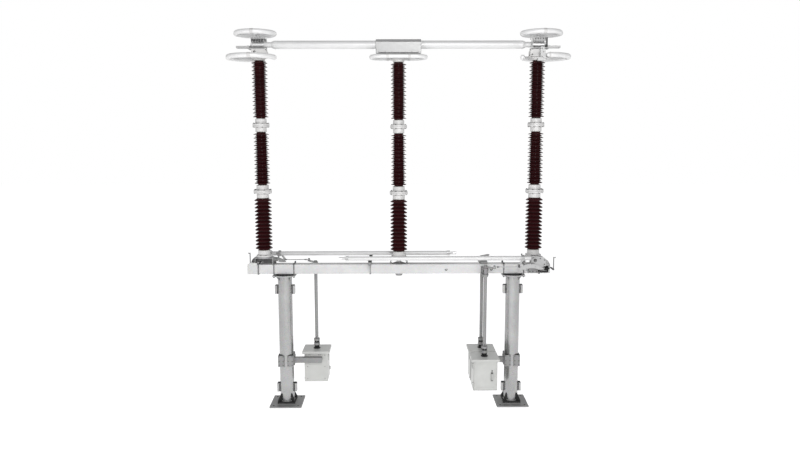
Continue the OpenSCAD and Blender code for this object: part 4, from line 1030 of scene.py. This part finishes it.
def earth_details():
    """Collars, bolts and contact bands of the earthing blades, their brackets and their jaws."""
    tube = pivot + Vector((0, 0, 0.026))
    for name, turn in SIDES:
        body = "earth_blade_" + name
        bolts, bands, fixed, catch = (Shape(part + name) for part in (
            "earth_bolts_", "earth_bands_", "bracket_bolts_", "earth_contact_bolts_"))
        for shape in (bolts, bands, fixed, catch):
            shape.turn = turn
        at = tube - Vector((EARTH_COLLAR_X, 0, 0))
        for dx in (-0.012, 0.016):
            for way in (-1, 1):
                bolt(bolts, at + Vector((dx, way * 0.0498, 0)), (0, way, 0), 0.008)
        collar(bands, at - Vector((0.026, 0, 0)), (1, 0, 0), 0.042, 0.0525, 0.007, 0.002, 40)
        collar(bands, at + Vector((0.023, 0, 0)), (1, 0, 0), 0.042, 0.0525, 0.007, 0.002, 40)
        collar(bands, tube - Vector((EARTH_ROD_X, 0, 0)), (1, 0, 0), 0.0262, 0.0282, 0.060, 0.0005, 40)
        for x, z in ((-0.040, 0.075), (0.005, 0.075), (0.060, 0.067), (0.110, 0.062)):
            bolt(bolts, pivot + Vector((x, 0, z)), (0, 0.1, 1), 0.010)
        for u, v in ((0.080, -0.080), (0.180, -0.080), (0.180, 0.000), (0.100, 0.030), (-0.035, 0.040)):
            bolt(bolts, pivot + Vector((u, -0.075, v)), FRONT, 0.011)
        bolt(bolts, pivot + Vector((0, -0.104, 0)), FRONT, 0.028, shank=0.006)
        bolt(bolts, pivot + Vector((EARTH_THROW, -0.110, -EARTH_THROW)), FRONT, 0.017)
        bolt(bolts, pivot + Vector((-0.296, -0.082, -0.098)), FRONT, 0.015)
        for dx in (-0.014, 0.014):
            bolt(bolts, tube + Vector((-0.210 + dx, 0, 0.055)), UP, 0.009)
        plate_y = -beam_face - 0.104
        for x in (-0.060, 0.000, 0.075):
            bolt(fixed, (pivot.x + x, plate_y, beam_high.z - 0.125), FRONT, 0.011)
        for x, z in ((-0.150, -0.055), (-0.120, -0.103)):
            bolt(fixed, (pivot.x + x, plate_y, pivot.z + z), FRONT, 0.007)
        rod = pivot.x + 0.026
        for x, z in ((0.020, -0.020), (0.110, -0.020), (0.020, 0.120), (0.045, 0.060)):
            bolt(catch, (rod + x, pivot.y - 0.057, column_top + z), FRONT, 0.009)
        for x in (0.065, 0.073):
            bolt(catch, (rod + x, -0.190, column_top + 0.034), UP, 0.009)
        bolts.finish(BOLT, body, "bright_metal")
        bands.finish(CONTACT, body, "bright_metal")
        fixed.finish(BOLT, ROOT, "galvanised")
        catch.finish(BOLT, ROOT, "bright_metal")


def rest_details():
    """Screws of the blade rest and its cradles, and nuts of the indicator rods."""
    screws, rods = Shape("rest_screws"), Shape("indicator_nuts")
    x = centre_of("blade_rest_pads").x
    pad_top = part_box("blade_rest_pads")[1].z
    for y in (pivot.y, -pivot.y):
        for dx in (-0.018, 0.018):
            for dy in (-0.036, 0.036):
                bolt(screws, (x + dx, y + dy, beam_high.z + 0.034), UP, 0.007)
        for dy in (-0.038, 0.038):
            for way in (-1, 1):
                bolt(screws, (x + way * 0.030, y + dy, pad_top - 0.012), (way, 0, 0), 0.004, washer=False)
    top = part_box("indicator_rods")[1]
    for _, turn in SIDES:
        rods.turn = turn
        at = (beam_high.x + 0.026, -beam_face - 0.185)
        bolt(rods, (*at, beam_high.z - 0.064), UP, 0.014)
        bolt(rods, (*at, beam_high.z - 0.076), DOWN, 0.014)
        collar(rods, (top.x - 0.006, at[1], top.z - 0.005), (1, 0, 0), 0.0, 0.009, 0.006, 0.001, 20)
    screws.finish(BOLT, ROOT, "galvanised")
    rods.finish(BOLT, ROOT, "galvanised")


def small_parts():
    leg_details()
    beam_details()
    arm_details()
    for name, sx, sy in (("cabinet_front", 1, -1), ("cabinet_rear", 1, 1), ("cabinet_left", -1, 1)):
        cabinet_details(name, sx, sy)
    for name, x, y in (("shaft_main", cab_x, SHAFT_Y), ("shaft_front", cab_x, -SHAFT_Y),
                       ("shaft_left", -cab_x, SHAFT_Y)):
        shaft_details(name, x, y)
    link_details()
    spring_details()
    hood_details()
    head_details()
    earth_details()
    rest_details()


# ---------------------------------------------------------------- stage, light and camera

CAMERA_AT = (-0.0517, -13.1494, 5.2039)
CAMERA_PITCH = 7.3465
CAMERA_YAW = -0.3241
CAMERA_ROLL = -0.099
CAMERA_LENS = 31.33
SENSOR_WIDTH = 36
FLOOR_HALF = 60.0
FLOOR_GLOW = 0.65
KEY_POWER, FILL_POWER, BACK_POWER = 900, 120, 160


def make_camera():
    data = bpy.data.cameras.new("camera")
    data.sensor_width = SENSOR_WIDTH
    data.lens = CAMERA_LENS
    data.clip_end = 200
    obj = bpy.data.objects.new("camera", data)
    bpy.context.scene.collection.objects.link(obj)
    turn = (Matrix.Rotation(math.radians(CAMERA_YAW), 4, "Z")
            @ Matrix.Rotation(math.radians(90 - CAMERA_PITCH), 4, "X")
            @ Matrix.Rotation(math.radians(CAMERA_ROLL), 4, "Z"))
    obj.matrix_world = Matrix.Translation(CAMERA_AT) @ turn
    bpy.context.scene.camera = obj


def area_light(name, at, target, size, power):
    data = bpy.data.lights.new(name, "AREA")
    data.shape = "RECTANGLE"
    data.size, data.size_y = size
    data.energy = power
    obj = bpy.data.objects.new(name, data)
    bpy.context.scene.collection.objects.link(obj)
    obj.matrix_world = along(target, at)
    obj.matrix_world.translation = Vector(at)


def make_world():
    """A surround that looks white but lights the object more softly, dimmest overhead."""
    world = bpy.data.worlds.new("studio")
    world.use_nodes = True
    bpy.context.scene.world = world
    tree = world.node_tree
    place = tree.nodes.new("ShaderNodeTexCoord")
    split = tree.nodes.new("ShaderNodeSeparateXYZ")
    ramp = tree.nodes.new("ShaderNodeValToRGB")
    ramp.color_ramp.elements[0].position = 0.25
    ramp.color_ramp.elements[0].color = (0.62, 0.62, 0.62, 1)
    ramp.color_ramp.elements[1].position = 0.75
    ramp.color_ramp.elements[1].color = (0.36, 0.36, 0.37, 1)
    seen = tree.nodes.new("ShaderNodeLightPath")
    pick = tree.nodes.new("ShaderNodeMix")
    pick.data_type = "RGBA"
    pick.inputs[7].default_value = (1, 1, 1, 1)
    tree.links.new(place.outputs["Generated"], split.inputs[0])
    tree.links.new(split.outputs["Z"], ramp.inputs["Fac"])
    tree.links.new(seen.outputs["Is Camera Ray"], pick.inputs[0])
    tree.links.new(ramp.outputs["Color"], pick.inputs[6])
    tree.links.new(pick.outputs[2], tree.nodes["Background"].inputs["Color"])
    tree.nodes["Background"].inputs["Strength"].default_value = 1.0


def make_floor():
    half = FLOOR_HALF
    corners = [(-half, -half, 0), (half, -half, 0), (half, half, 0), (-half, half, 0)]
    mesh = bpy.data.meshes.new("floor")
    mesh.from_pydata(corners, [], [(0, 1, 2, 3)])
    obj = bpy.data.objects.new("floor", mesh)
    bpy.context.scene.collection.objects.link(obj)
    n = Nodes("floor")
    cloud = n.noise(0.8, 4, 0.5)
    base = n.ramp(cloud, [(0.3, grey(0.86)), (0.7, grey(0.88))])
    n.link(base, n.shader.inputs["Base Color"])
    n.set(rough=0.9, specular=0.1)
    n.shader.inputs["Emission Color"].default_value = (1, 1, 1, 1)
    n.shader.inputs["Emission Strength"].default_value = FLOOR_GLOW
    mesh.materials.append(n.material)


def make_lights():
    area_light("key", (1.5, -13, 8), (0, 0, 3), (2.5, 5), KEY_POWER)
    area_light("fill", (-9, -8, 6), (0, 0, 3.5), (4, 6), FILL_POWER)
    area_light("back", (0, 10, 8), (0, 0, 4), (8, 4), BACK_POWER)


dress_cad_nodes()
insulators()
small_parts()
make_camera()
make_world()
make_floor()
make_lights()
bpy.context.scene.view_settings.view_transform = "Standard"
